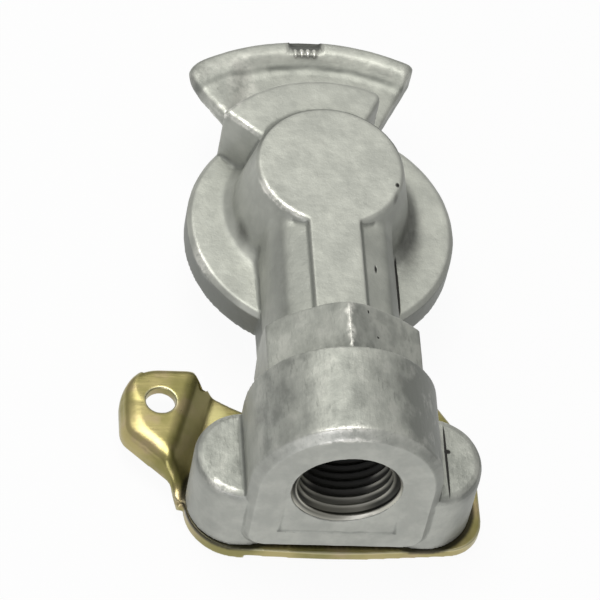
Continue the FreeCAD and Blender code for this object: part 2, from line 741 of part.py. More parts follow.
def build_disc_and_dome(cast):
    sketch = cast.sketch("disc_section", "YZ_Plane")
    cast.outline(sketch, [("0", "0"), ("disc_radius", "0"),
                          ("disc_radius", "disc_side"), ("disc_flat", "disc_thickness"),
                          ("0", "disc_thickness")])
    cast.turn("disc", sketch)
    sketch = cast.sketch("dome_section", "YZ_Plane", ("boss_centre", "0", "0"))
    cast.outline(sketch, [("0", "dome_root"), ("dome_skirt", "dome_root"),
                          ("dome_skirt", "disc_thickness"), ("dome_foot_side", "dome_foot_top"),
                          ("boss_side_radius", "boss_side"), ("boss_flat", "boss_top"),
                          ("0", "boss_top")])
    cast.turn("dome", sketch)


def build_ears(cast):
    """Two round ears beside the port that the plate is riveted to."""
    sketch = cast.sketch("ear_section", "YZ_Plane", ("-ear_offset", "0", "ear_x"))
    cast.outline(sketch, [("0", "-plate_level"), ("ear_radius", "-plate_level"),
                          ("ear_radius", "ear_side"), ("ear_bevel", "ear_bevel_level"),
                          ("ear_flat", "ear_top_height"), ("0", "ear_top_height")])
    ear = cast.turn("ear", sketch)
    cast.mirror("ears", ear)


def bore_casting(cast):
    """Way of the mating lug, seal groove, air chamber, passage, port bore and rivet holes."""
    sketch = cast.sketch("way_section", "YZ_Plane")
    cast.outline(sketch, [("way_inner", "neck_underside"), ("way_radius", "neck_underside"),
                          ("way_radius", "-way_floor"), ("way_inner", "-way_floor")])
    cast.turn("way", sketch, cut=True)

    sketch = cast.sketch("seal_groove_section", "YZ_Plane")
    cast.outline(sketch, [("0", "-face_out"), ("groove_radius", "-face_out"),
                          ("groove_radius", "groove_lip"), ("groove_flange_radius", "groove_lip"),
                          ("groove_flange_radius", "seal_groove_floor"), ("0", "seal_groove_floor")])
    cast.turn("seal_groove", sketch, cut=True)

    sketch = cast.sketch("chamber_outline", "XY_Plane", ("0", "0", "chamber_top"))
    cast.circle(sketch, "0", "0", "chamber_radius")
    cast.pocket("chamber", sketch, "chamber_top")

    sketch = cast.sketch("passage_outline", "XZ_Plane", ("0", "0", "passage_start"))
    cast.circle(sketch, "0", "port_height", "passage_radius")
    cast.pocket("passage", sketch, "passage_length")

    sketch = cast.sketch("port_bore_section", "YZ_Plane", ("0", "port_height", "0"))
    cast.outline(sketch, [("-passage_start", "0"), ("-passage_start", "thread_radius"),
                          ("-mouth_depth", "thread_radius"), ("-port_face", "mouth_radius"),
                          ("-port_out", "mouth_radius"), ("-port_out", "0")])
    cast.turn("port_bore", sketch, axis="H_Axis", cut=True)

    sketch = cast.sketch("mark_outline", "XZ_Plane", ("0", "0", "port_face"))
    cast.outline(sketch, [("-mark_half", "-mark_foot"), ("mark_half", "-mark_foot"),
                          ("mark_half", "mark_top"), ("-mark_half", "mark_top")])
    cast.pocket("square_mark", sketch, "mark_depth")

    sketch = cast.sketch("rivet_hole_outline", "XY_Plane", ("0", "0", "-plate_level"))
    cast.circle(sketch, "ear_x", "-ear_offset", "rivet_radius")
    hole = cast.pocket("rivet_hole", sketch, "rivet_grip", reversed_side=True)
    cast.mirror("rivet_holes", hole, grows=False)


def build_casting(doc, sheet):
    cast = Builder(doc, sheet, "body_casting")
    build_lug(cast)
    build_shoulder(cast)
    build_hexagon(cast)
    build_port(cast)
    build_neck(cast)
    build_disc_and_dome(cast)
    build_ears(cast)
    bore_casting(cast)
    return cast


def build_seal(doc, sheet):
    """Rubber ring: a flange that holds it in the groove and a body that stands out of the face."""
    seal = Builder(doc, sheet, "seal")
    sketch = seal.sketch("seal_section", "YZ_Plane")
    seal.outline(sketch, [("seal_bore", "seal_groove_floor"),
                          ("seal_flange_radius", "seal_groove_floor"),
                          ("seal_flange_radius", "seal_flange_level"),
                          ("seal_body_radius", "seal_flange_level"),
                          ("seal_body_radius", "-seal_side"), ("seal_flat", "-seal_stand"),
                          ("seal_face_inner", "-seal_stand"),
                          ("seal_bore", "-seal_lip_height")])
    seal.turn("seal_ring", sketch)
    return seal


def build_plate(doc, sheet):
    """Pressed plate: flat base, ramp and raised tab with a rim, detent and rivet holes."""
    plate = Builder(doc, sheet, "connector_plate")
    upright = FreeCAD.Vector(0, 1, 0)
    ramp_shift = ("-tab_foot_x", "0", "tab_foot_y")
    top = [("tab_foot_overlap", "-plate_level"), ("0", "-plate_level", "tab_bend"),
           ("-tab_ramp_run", "-tab_level", "tab_outer_bend"), ("-tab_reach", "-tab_level")]
    under = [("-tab_reach", "-tab_under"), ("-tab_ramp_under", "-tab_under", "tab_bend"),
             ("-tab_bend_shift", "-plate_foot", "tab_outer_bend"),
             ("tab_foot_overlap", "-plate_foot")]
    sketch = plate.sketch("ramp_section", "XZ_Plane", ramp_shift, turn=(upright, "tab_turn"))
    plate.outline(sketch, top + under)
    plate.pad("ramp", sketch, "tab_length")

    rear = [("-tab_root", "-tab_rear_root"), ("-tab_rear_shoulder", "-tab_rear")]
    side = [("-tab_side", "-tab_rear", "tab_rear_round"),
            ("-tab_side", "-tab_front", "tab_front_round"),
            ("-tab_waist_x", "-tab_waist_y", "tab_waist_round"), ("-tab_tip_x", "-tab_tip_y")]
    sketch = plate.sketch("tab_outline", "XY_Plane")
    plate.outline(sketch, rear + side + [("-tab_root", "-tab_tip_y")])
    plate.outline(sketch, [("-clear_out", "0"), ("0", "0"), ("0", "-clear_front"),
                           ("-clear_out", "-clear_front")])
    plate.pocket("tab_trim", sketch, "clear_front")

    inner = [("-rim_tip_x", "-tab_tip_y"), ("-rim_waist_x", "-rim_waist_y", "rim_waist_round"),
             ("-rim_side", "-rim_front", "rim_front_round"),
             ("-rim_side", "-rim_rear", "rim_rear_round"), ("-tab_rear_shoulder", "-rim_rear")]
    sketch = plate.sketch("rim_outline", "XY_Plane", ("0", "0", "-rim_level"))
    plate.outline(sketch, rear[1:] + side + inner)
    plate.pad("rim", sketch, "rim_height")

    sketch = plate.sketch("rim_trim_section", "XZ_Plane", ramp_shift, turn=(upright, "tab_turn"))
    plate.outline(sketch, top + [("-tab_reach", "clear_level"), ("tab_foot_overlap", "clear_level")])
    plate.pocket("rim_trim", sketch, "tab_length", reversed_side=True)

    sketch = plate.sketch("tab_arc_outline", "XY_Plane", ("0", "0", "-tab_level"))
    plate.circle(sketch, "0", "0", "plate_inner_radius")
    plate.pocket("tab_arc", sketch, "plate_foot")
    plate.round_edges("rim_edge_round", "rim_round", lambda edge: on_rim(plate, edge))

    sketch = plate.sketch("tab_hole_outline", "XY_Plane")
    plate.circle(sketch, "-tab_hole_x", "-tab_hole_y", "tab_hole_radius")
    plate.pocket("tab_hole", sketch, "plate_foot")

    sketch = plate.sketch("base_outline", "XY_Plane", ("0", "0", "-plate_foot"))
    plate.outline(sketch, [("-plate_left_tip", "-plate_tips"), ("plate_right_tip", "-plate_tips"),
                           ("plate_right", "-plate_right_shoulder", "plate_shoulder_round"),
                           ("plate_right", "-plate_front_side", "plate_corner"),
                           ("plate_front_middle", "-plate_front", "plate_front_round"),
                           ("-plate_left", "-plate_left_front", "plate_left_corner"),
                           ("-plate_left", "-plate_left_shoulder"),
                           ("-plate_waist", "-plate_waist_offset")])
    plate.pad("base", sketch, "plate_thickness")

    sketch = plate.sketch("lip_outline", "XY_Plane", ("0", "0", "-lip_foot"))
    plate.outline(sketch, [("-plate_left", "-lip_start"),
                           ("-plate_left", "-plate_left_front", "plate_left_corner"),
                           ("-lip_end", "-lip_end_front"), ("-lip_end", "-lip_end_back"),
                           ("-lip_side", "-lip_front", "lip_round"), ("-lip_side", "-lip_start")])
    plate.pad("lip", sketch, "lip_height")

    sketch = plate.sketch("inner_arc_outline", "XY_Plane", ("0", "0", "-tab_level"))
    plate.circle(sketch, "0", "0", "plate_inner_radius")
    plate.pocket("inner_arc", sketch, "plate_foot")

    detent_shift = ("-detent_offset", "0", "-notch_offset")
    sketch = plate.sketch("detent_section", "YZ_Plane", detent_shift)
    plate.outline(sketch, [("0", "-plate_middle"), ("detent_radius", "-plate_middle"),
                           ("detent_radius", "-plate_level"),
                           ("detent_shoulder", "-detent_bevel_level"),
                           ("detent_flat", "-detent_top"), ("0", "-detent_top")])
    plate.turn("detent", sketch)
    sketch = plate.sketch("dimple_section", "YZ_Plane", detent_shift)
    plate.outline(sketch, [("0", "-lip_foot"), ("dimple_radius", "-lip_foot"),
                           ("dimple_radius", "-plate_foot"),
                           ("dimple_flat", "-detent_under"), ("0", "-detent_under")])
    plate.turn("dimple", sketch, cut=True)

    sketch = plate.sketch("plate_hole_outline", "XY_Plane")
    plate.circle(sketch, "ear_x", "-ear_offset", "rivet_radius")
    hole = plate.pocket("plate_hole", sketch, "plate_foot")
    plate.mirror("plate_holes", hole, grows=False)
    return plate


def on_rim(plate, edge):
    """True for the edges between the top of the tab and the upright wall of its rim."""
    point = middle_of(edge)
    if point.z < -plate.value("plate_level"):
        return False
    upright = 0
    upward = 0
    for face in plate.tip_shape.ancestorsOfType(edge, Part.Face):
        normal = face.normalAt(*face.Surface.parameter(point))
        upright += near(normal.z, 0) and not near(plan_radius(point), plate.value("plate_inner_radius"))
        upward += normal.z > 0.3
    return upright == 1 and upward == 1


def build_rivet(doc, sheet, label, ear_side):
    """Round-headed rivet through the plate into its ear."""
    rivet = Builder(doc, sheet, label)
    sketch = rivet.sketch("section_of_" + label, "YZ_Plane", ("-ear_offset", "0", ear_side))
    rivet.outline(sketch, [("0", "-rivet_foot"),
                           ("rivet_head_flat", "-rivet_foot"),
                           ("rivet_head_shoulder", "-rivet_waist"),
                           ("rivet_head_radius", "-plate_foot"), ("rivet_radius", "-plate_foot"),
                           ("rivet_radius", "-rivet_top"), ("0", "-rivet_top")])
    rivet.turn("turned_" + label, sketch)
    return rivet


def main():
    doc = FreeCAD.newDocument("gladhand")
    sheet = make_sheet(doc)
    parts = [build_casting(doc, sheet), build_plate(doc, sheet), build_seal(doc, sheet),
             build_rivet(doc, sheet, "rivet_left", "-ear_x"),
             build_rivet(doc, sheet, "rivet_right", "ear_x")]
    doc.recompute()
    for item in doc.Objects:
        if "Invalid" in item.State or "Error" in item.State:
            raise RuntimeError(f"{item.Label} failed: {item.State}")
    os.makedirs("parts", exist_ok=True)
    for builder in parts:
        shape = builder.body.Shape
        if shape.isNull() or not shape.isValid():
            raise RuntimeError(f"{builder.body.Label} has no valid shape")
        shape.exportStep(f"parts/{builder.body.Label}.step")
        box = shape.BoundBox
        print(builder.body.Label, round(shape.Volume, 1), len(shape.Solids), box)


main()
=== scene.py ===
# %% [markdown]
# # A cast air brake coupler, dressed from its solid model
# The object is a gladhand, the hose coupler of a truck's air brake: a sand cast
# aluminium body, a pressed steel plate with a yellow zinc finish, a rubber seal and
# two rivets. Its exact solids come in as a fixed frame. This script gives them the
# soft corners of a casting, the finishes, the light and the camera. Looks could also
# be sculpted by hand, but a script stays editable and repeats exactly.

# %% Load the solids
import math

import bmesh
import bpy
import numpy as np
from mathutils import Matrix, Vector
from mathutils.kdtree import KDTree


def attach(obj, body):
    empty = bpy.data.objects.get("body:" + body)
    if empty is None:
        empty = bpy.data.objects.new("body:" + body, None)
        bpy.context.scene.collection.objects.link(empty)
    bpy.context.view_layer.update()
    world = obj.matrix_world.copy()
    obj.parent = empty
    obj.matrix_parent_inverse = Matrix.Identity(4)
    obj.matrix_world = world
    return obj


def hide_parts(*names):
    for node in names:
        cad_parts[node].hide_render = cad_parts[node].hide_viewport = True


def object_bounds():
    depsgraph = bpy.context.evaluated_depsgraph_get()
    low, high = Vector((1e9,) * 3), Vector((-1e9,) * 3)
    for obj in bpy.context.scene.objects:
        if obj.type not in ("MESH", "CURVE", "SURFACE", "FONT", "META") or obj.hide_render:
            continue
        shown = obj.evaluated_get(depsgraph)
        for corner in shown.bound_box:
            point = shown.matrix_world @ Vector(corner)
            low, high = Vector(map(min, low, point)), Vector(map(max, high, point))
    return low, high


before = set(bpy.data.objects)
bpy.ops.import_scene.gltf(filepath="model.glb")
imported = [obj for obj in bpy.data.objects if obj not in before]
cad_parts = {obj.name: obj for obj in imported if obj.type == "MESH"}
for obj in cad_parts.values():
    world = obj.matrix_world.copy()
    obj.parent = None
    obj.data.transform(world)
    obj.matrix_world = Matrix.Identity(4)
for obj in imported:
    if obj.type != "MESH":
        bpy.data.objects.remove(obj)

MM = 0.001
solid_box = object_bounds()


def new_object(name, data):
    """An object with this data, linked to the scene."""
    made = bpy.data.objects.new(name, data)
    bpy.context.scene.collection.objects.link(made)
    return made


print("solids:", sorted(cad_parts), "from", solid_box[0], "to", solid_box[1])

# %% [markdown]
# ## The camera
# The photograph looks down on the back of the coupler from above the hose port, a
# little from the left, through a long lens, so the port seems almost as near as the
# lug. Tracking an empty would be the easy way to aim. Here the three directions of
# the camera are written out, because a tilt round the line of sight belongs to them.

# %% Set up the camera
EYE = Vector((-116.72, -485.71, 624.94)) * MM
LINE_OF_SIGHT = Vector((0.1422, 0.5962, -0.7901))
HEAD_UP = Vector((-0.0322, 0.8006, 0.5983))
FOCAL_LENGTH = 233.944
SENSOR_WIDTH = 36


def make_camera():
    forward = LINE_OF_SIGHT.normalized()
    right = forward.cross(HEAD_UP).normalized()
    upward = right.cross(forward)
    lens = bpy.data.cameras.new("camera")
    lens.lens = FOCAL_LENGTH
    lens.sensor_width = SENSOR_WIDTH
    camera = new_object("camera", lens)
    axes = Matrix((right, upward, -forward)).transposed().to_4x4()
    axes.translation = EYE
    camera.matrix_world = axes
    bpy.context.scene.camera = camera
    return camera


print("camera at", make_camera().matrix_world.translation)

# %% [markdown]
# ## Shader maths that reads like Python
# A procedural finish is a sum of masks. Linking Math nodes one by one hides that sum,
# so a small class wraps a socket, and an expression such as `1 - mask * 0.3` adds the
# nodes by itself. A second class holds one material, with one method that adds any
# other kind of node: its settings first, then the values or links of its sockets.

# %% Wrap sockets and materials
class Field:
    """A value, colour or vector that changes over a surface."""

    def __init__(self, finish, socket):
        self.finish = finish
        self.socket = socket

    def maths(self, operation, *terms, clamp=False):
        settings = {"operation": operation, "use_clamp": clamp}
        return self.finish.node("ShaderNodeMath", settings, dict(enumerate(terms)))

    def __add__(self, other):
        return self.maths("ADD", self, other)

    def __sub__(self, other):
        return self.maths("SUBTRACT", self, other)

    def __rsub__(self, other):
        return self.maths("SUBTRACT", other, self)

    def __mul__(self, other):
        return self.maths("MULTIPLY", self, other)

    __radd__ = __add__
    __rmul__ = __mul__

    def clip(self):
        """The value kept between 0 and 1."""
        return self.maths("ADD", self, 0.0, clamp=True)

    def above(self, low, high):
        """0 below low, 1 above high, and a smooth rise between."""
        settings = {"interpolation_type": "SMOOTHSTEP"}
        sockets = {"Value": self, "From Min": low, "From Max": high}
        return self.finish.node("ShaderNodeMapRange", settings, sockets)


class Finish:
    """One material, with the positions on the object in millimetres."""

    def __init__(self, name):
        self.material = bpy.data.materials.new(name)
        self.material.use_nodes = True
        self.tree = self.material.node_tree
        self.tree.nodes.clear()
        place = self.node("ShaderNodeTexCoord", take="Object")
        self.place = self.node("ShaderNodeVectorMath", {"operation": "SCALE"},
                               {"Vector": place, "Scale": 1 / MM})

    def node(self, kind, settings=None, sockets=None, take=0):
        """Adds a node: its settings first, then its sockets, and returns one output."""
        made = self.tree.nodes.new(kind)
        for name, value in (settings or {}).items():
            setattr(made, name, value)
        for name, value in (sockets or {}).items():
            if isinstance(value, Field):
                self.tree.links.new(value.socket, made.inputs[name])
            else:
                made.inputs[name].default_value = value
        return Field(self, made.outputs[take])

    def noise(self, size, detail=3.0, roughness=0.5, stretch=(1, 1, 1), offset=0.0):
        """Noise from 0 to 1 whose lumps are about size millimetres wide."""
        scale = [1 / (size * share) for share in stretch]
        place = self.node("ShaderNodeMapping", None,
                          {"Vector": self.place, "Scale": scale, "Location": (offset,) * 3})
        return self.node("ShaderNodeTexNoise", None,
                         {"Vector": place, "Scale": 1.0, "Detail": detail,
                          "Roughness": roughness})

    def near(self, point, reach, soft, stretch=(1, 1, 1)):
        """1 within reach millimetres of a point, 0 beyond soft more."""
        away = self.node("ShaderNodeVectorMath", {"operation": "SUBTRACT"},
                         {0: self.place, 1: point})
        away = self.node("ShaderNodeVectorMath", {"operation": "DIVIDE"},
                         {0: away, 1: stretch})
        length = self.node("ShaderNodeVectorMath", {"operation": "LENGTH"}, {0: away},
                           take="Value")
        return 1 - length.above(reach, reach + soft)

    def ring(self, radius, half, soft, centre=(0, 0, 0)):
        """1 on an upright tube of this radius, half millimetres to each side of it."""
        away = self.node("ShaderNodeVectorMath", {"operation": "SUBTRACT"},
                         {0: self.place, 1: centre})
        flat = self.node("ShaderNodeVectorMath", {"operation": "MULTIPLY"},
                         {0: away, 1: (1, 1, 0)})
        length = self.node("ShaderNodeVectorMath", {"operation": "LENGTH"}, {0: flat},
                           take="Value")
        gap = self.node("ShaderNodeMath", {"operation": "ABSOLUTE"}, {0: length - radius})
        return 1 - gap.above(half, half + soft)

    def axis(self, letter):
        """How far along X, Y or Z, in millimetres."""
        return self.node("ShaderNodeSeparateXYZ", None, {"Vector": self.place}, take=letter)

    def facing(self, letter):
        """The part of the surface's own normal that points along X, Y or Z."""
        normal = self.node("ShaderNodeTexCoord", take="Normal")
        return self.node("ShaderNodeSeparateXYZ", None, {"Vector": normal}, take=letter)

    def stored(self, name):
        """A number stored on the points of the mesh."""
        return self.node("ShaderNodeAttribute", {"attribute_name": name}, take="Fac")

    def blend(self, share, first, second):
        """The first colour where share is 0 and the second where it is 1."""
        settings = {"data_type": "RGBA"}
        return self.node("ShaderNodeMix", settings, {0: share, 6: first, 7: second}, take=2)

    def bump(self, height, depth):
        """A normal for relief whose full height is depth millimetres."""
        return self.node("ShaderNodeBump", None, {"Height": height, "Distance": depth * MM})

    def surface(self, **sockets):
        """The material with a Principled surface of these values."""
        named = {name.replace("_", " "): value for name, value in sockets.items()}
        return self.shown(self.node("ShaderNodeBsdfPrincipled", None, named))

    def shown(self, shader):
        """The material with this shader joined to its output."""
        output = self.tree.nodes.new("ShaderNodeOutputMaterial")
        self.tree.links.new(shader.socket, output.inputs["Surface"])
        return self.material


print("shader helpers ready")

# %% [markdown]
# ## From crisp solid to cast skin
# A mould leaves no sharp corner: sand grains and draft round every edge, and the
# roots between two faces fill up a little. Bevels on each edge would need care at
# every meeting of three edges. Here the solid is rebuilt as a skin of small equal
# squares with a Remesh modifier, which then relaxes with Smooth, so all corners and
# roots soften alike. A vertex group lets chosen places relax more, as the rolled bead
# of the lug does. A cloud texture dents the skin by a tenth of a millimetre, always
# inwards, and Decimate takes out the squares that a flat face doesn't need.

# %% Rebuild a solid as a soft skin
def applied(piece):
    """Turns the piece's modifiers into plain mesh."""
    graph = bpy.context.evaluated_depsgraph_get()
    mesh = bpy.data.meshes.new_from_object(piece.evaluated_get(graph))
    piece.modifiers.clear()
    piece.data = mesh
    return mesh


def coordinates(mesh, kind="co"):
    """Points or normals of a mesh as rows of three numbers."""
    values = np.empty(len(mesh.vertices) * 3, np.float32)
    mesh.vertices.foreach_get(kind, values)
    return values.reshape(-1, 3).astype(float)


def mesh_links(mesh, chosen=None):
    """Pairs of joined points, and how many pairs each point is in."""
    ends = np.empty(len(mesh.edges) * 2, np.int32)
    mesh.edges.foreach_get("vertices", ends)
    ends = ends.reshape(-1, 2)
    if chosen is not None:
        ends = ends[chosen[ends].all(axis=1)]
    return ends, np.bincount(ends.ravel(), minlength=len(mesh.vertices))


def neighbour_mean(values, ends, count):
    """The mean of each point's neighbours, or its own value where it has none."""
    first, second = ends.T
    total = np.empty_like(values)
    for column in range(values.shape[1]):
        number = values[:, column]
        total[:, column] = (np.bincount(first, number[second], len(count))
                            + np.bincount(second, number[first], len(count)))
    mean = total / np.maximum(count, 1)[:, None]
    return np.where(count[:, None] > 0, mean, values)


SHARE_LEVELS = 4


def relax(piece, passes, share=None):
    """Smooths a piece, by a share from 0 to 1 for each of its points."""
    smooth = piece.modifiers.new("relax", "SMOOTH")
    smooth.factor = 0.5
    smooth.iterations = passes
    if share is not None:
        group = piece.vertex_groups.new(name="relax")
        for level in range(1, SHARE_LEVELS + 1):
            chosen = np.where(np.round(share * SHARE_LEVELS) == level)[0]
            group.add(chosen.tolist(), level / SHARE_LEVELS, "REPLACE")
        smooth.vertex_group = group.name
    applied(piece)
    piece.vertex_groups.clear()


def soft_skin(node, name, square):
    """A copy of a CAD node made of small squares, which takes its place."""
    skin = new_object(name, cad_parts[node].data.copy())
    remesh = skin.modifiers.new("squares", "REMESH")
    remesh.mode = "VOXEL"
    remesh.voxel_size = square * MM
    applied(skin).materials.clear()
    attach(skin, "root")
    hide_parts(node)
    print(name, "starts with", len(skin.data.polygons), "squares")
    return skin


def thin_out(piece, keep):
    """Keeps this share of the faces, where they matter most, and shades them smoothly."""
    thin = piece.modifiers.new("thin_out", "DECIMATE")
    thin.ratio = keep
    mesh = applied(piece)
    mesh.polygons.foreach_set("use_smooth", [True] * len(mesh.polygons))
    print(piece.name, "keeps", len(mesh.polygons), "faces")


print("skin helpers ready")

# %% [markdown]
# ## Soften the casting
# All corners of the body are a few tenths of a millimetre round. The foot of the dome,
# the ridges of the neck and the bead are softer still, as a pattern maker blends them
# by hand. One Smooth modifier can't do both. So the body gets two passes everywhere,
# and then many more through a vertex group that marks the soft places by position.

# %% Soften the casting
DOME_CENTRE = (0, 3.2, 0)
DOME_FOOT = (17.0, 22.5, 1.5)
DOME_FOOT_LEVELS = (5.5, 11.0, 1.0)
DOME_FOOT_END = 22
SOFT_RING = (30.0, 46.0, 1.0)
SOFT_LUG_START = 24.0
LAND_LEVEL = 6.8
LAND_END = ((-20.0, -8.0, 2.0), (26.0, 41.0, 2.0))
NECK_RIDGE = ((8.0, 16.0, 1.0), (-34.0, -3.0, 2.0), (10.0, 21.5, 1.0))
DENT_DEPTH = 0.10
DENT_WIDTH = 3.0


def between(values, low, high, soft):
    """1 between two limits, falling to 0 over soft on both sides."""
    rise = np.clip((values - low) / soft, 0, 1)
    return rise * np.clip((high - values) / soft, 0, 1)


def inside(values, limits):
    """1 where each value is between its own two limits, with its own soft fall."""
    share = 1.0
    for value, (low, high, soft) in zip(values, limits):
        share = share * between(value, low, high, soft)
    return share


def soft_places(points):
    """1 where the casting is softest: the foot of the dome, the bead and its foot."""
    x, y, z = points.T / MM
    from_dome = np.hypot(x, y - DOME_CENTRE[1])
    foot = inside((from_dome, z), (DOME_FOOT, DOME_FOOT_LEVELS)) * (np.abs(y) < DOME_FOOT_END)
    lug = between(np.hypot(x, y), *SOFT_RING) * (y > SOFT_LUG_START) * (z > LAND_LEVEL)
    return np.clip(foot + lug, 0, 1)


def dent(piece):
    """Presses a cloud of shallow dents into the skin."""
    clouds = bpy.data.textures.new("sand_dents", "CLOUDS")
    clouds.noise_scale = DENT_WIDTH * MM
    clouds.noise_depth = 2
    press = piece.modifiers.new("dents", "DISPLACE")
    press.texture = clouds
    press.texture_coords = "LOCAL"
    press.strength = DENT_DEPTH * MM
    press.mid_level = 1.0
    applied(piece)


casting = soft_skin("body_casting", "casting_skin", square=0.30)
relax(casting, passes=2)
relax(casting, passes=36, share=soft_places(coordinates(casting.data)))
x, y, z = coordinates(casting.data).T / MM
relax(casting, passes=60, share=inside((x, y), LAND_END) * (z > LAND_LEVEL))
x, y, z = coordinates(casting.data).T / MM
relax(casting, passes=120, share=inside((np.abs(x), y, z), NECK_RIDGE))

# %% [markdown]
# ## Roll the bead of the lug
# The lug carries a thick round bead along its rim, which guides it into its twin. A
# grab brush could pull it up. A formula is steadier, because the height of the bead
# depends only on the distance from the centre of the coupling face: each point is
# lifted by that height and pushed outwards a little, so the roll is even all along.

# %% Roll the bead of the lug
LUG_START = 28.0
LUG_LEVEL = 6.0
LUG_RISE = 2.5
BEAD_FOOT = 38.0
BEAD_SOFT = 0.5
BEAD_CREST = 44.2
BEAD_OUTER = 47.0
BEAD_PUSH = 1.3
PUSHED_RING = (36.5, 46.8, 3.0)
CREST_RISE = 0.7
EDGE_DROP = 0.4
NOTCH_X = -0.9
NOTCH_HALF = 3.3
NOTCH_SOFT = 0.6
NOTCH_START = 41.5
NOTCH_RISE = 2.5
NOTCH_LIP = 0.36
LIP_START = 45.0
LIP_RISE = 1.5


def bead_height(reach):
    """How far the rolled bead stands over the flat top of the lug, in millimetres."""
    to_foot = np.clip((BEAD_CREST - reach) / (BEAD_CREST - BEAD_FOOT), 0, 1)
    to_edge = np.clip((reach - BEAD_CREST) / (BEAD_OUTER - BEAD_CREST), 0, 1)
    return CREST_RISE * (1 - to_foot ** 2) - (CREST_RISE + EDGE_DROP) * to_edge ** 2


def move(mesh, points):
    """Puts the points of a mesh where the rows say."""
    mesh.vertices.foreach_set("co", points.astype(np.float32).ravel())
    mesh.update()


def roll_bead(piece):
    """Lifts the rim of the lug into a round bead, but not inside the notch."""
    points = coordinates(piece.data)
    x, y, z = points.T / MM
    reach = np.hypot(x, y)
    on_top = (y > LUG_START) * np.clip((z - LUG_LEVEL) / LUG_RISE, 0, 1)
    on_bead = on_top * np.clip((reach - BEAD_FOOT) / BEAD_SOFT, 0, 1)
    in_notch = between(x, NOTCH_X - NOTCH_HALF - NOTCH_SOFT, NOTCH_X + NOTCH_HALF + NOTCH_SOFT,
                       NOTCH_SOFT)
    in_notch = in_notch * np.clip((y - NOTCH_START) / NOTCH_RISE, 0, 1)
    points[:, 2] += bead_height(reach) * on_bead * (1 - in_notch) * MM
    on_lip = np.clip((reach - LIP_START) / LIP_RISE, 0, 1)
    points[:, 2] += NOTCH_LIP * in_notch * on_lip * on_top * MM
    push = BEAD_PUSH * between(reach, *PUSHED_RING) * on_top
    points[:, 0] += push * x / reach * MM
    points[:, 1] += push * y / reach * MM
    move(piece.data, points)


roll_bead(casting)
dent(casting)
thin_out(casting, keep=0.32)

# %% [markdown]
# ## The teeth in the notch
# A row of small worn lobes stands on the floor of the notch. Cut out of the skin they
# would come out ragged, because they are hardly wider than its squares. So each is an
# egg shape, half sunk into the metal, and turned a little further round the centre of
# the coupling face than the one before it.

# %% Set the teeth in the notch
TEETH = 4
TOOTH_HALF = (0.66, 1.25, 0.85)
TOOTH_REACH = 43.5
TOOTH_LEVEL = 9.25
TOOTH_PITCH = math.radians(1.75)
FAN_TURN = math.radians(1.4)


def smooth_mesh(mesh, name):
    """Mesh data made of a bmesh, shaded smoothly."""
    for face in mesh.faces:
        face.smooth = True
    data = bpy.data.meshes.new(name)
    mesh.to_mesh(data)
    mesh.free()
    return data


def make_teeth():
    """The worn lobes of the notch, fanned out round the centre of the coupling face."""
    mesh = bmesh.new()
    for number in range(TEETH):
        turn = Matrix.Rotation(FAN_TURN + (number - (TEETH - 1) / 2) * TOOTH_PITCH, 4, "Z")
        place = Matrix.Translation(Vector((0, TOOTH_REACH, TOOTH_LEVEL)) * MM)
        shape = Matrix.Diagonal((*[half * MM for half in TOOTH_HALF], 1))
        bmesh.ops.create_uvsphere(mesh, u_segments=24, v_segments=16, radius=1,
                                  matrix=turn @ place @ shape)
    teeth = new_object("notch_teeth", smooth_mesh(mesh, "notch_teeth"))
    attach(teeth, "root")
    return teeth


teeth = make_teeth()
print("teeth faces:", len(teeth.data.polygons))

# %% [markdown]
# ## The drawn rim of the tab
# A die draws the edge of the tab down through a quarter circle. A Bevel modifier needs
# clean loops of edges, and a skin of squares has none. So each point is bent instead:
# its distance from the outer wall and its depth under the face say how far round the
# quarter circle it belongs. Those distances are first evened out between neighbours,
# which lets the crest run past the waist in one smooth curve.

# %% Round the rim of the tab
TAB_CENTRE = (-33.0, -37.0)
TAB_BOX = ((-42.0, -20.0), (-60.0, -28.0))
RIM_END_X = -26.5
RIM_RADIUS = 3.9
PLATE_TOP = -9.6
TAB_TOP = -4.5
TAB_MARGIN = 1.0
RAMP_FOOT = (-19.7, -25.2)
RAMP_TURN = math.radians(17.0)
RAMP_RUN = 4.3
RIM_FOOT = 2.3
RIM_SHARE = 0.35
RIM_EASE = 220
RIM_TIP_Y = -58.5
RIM_FADE = 3
REAR_FADE = 1.2
UPRIGHT_TILT = 0.15
LOWEST_TILT = -0.2
FLAT_TILT = 0.5
AT_WALL = 0.05
SMALLEST_RADIUS = 1e-6


def plate_level(plan):
    """Height of the plate's upper side at places seen from above."""
    run = ((plan - RAMP_FOOT) * (-math.cos(RAMP_TURN), math.sin(RAMP_TURN))).sum(axis=1)
    return PLATE_TOP + np.clip(run / RAMP_RUN, 0, 1) * (TAB_TOP - PLATE_TOP)


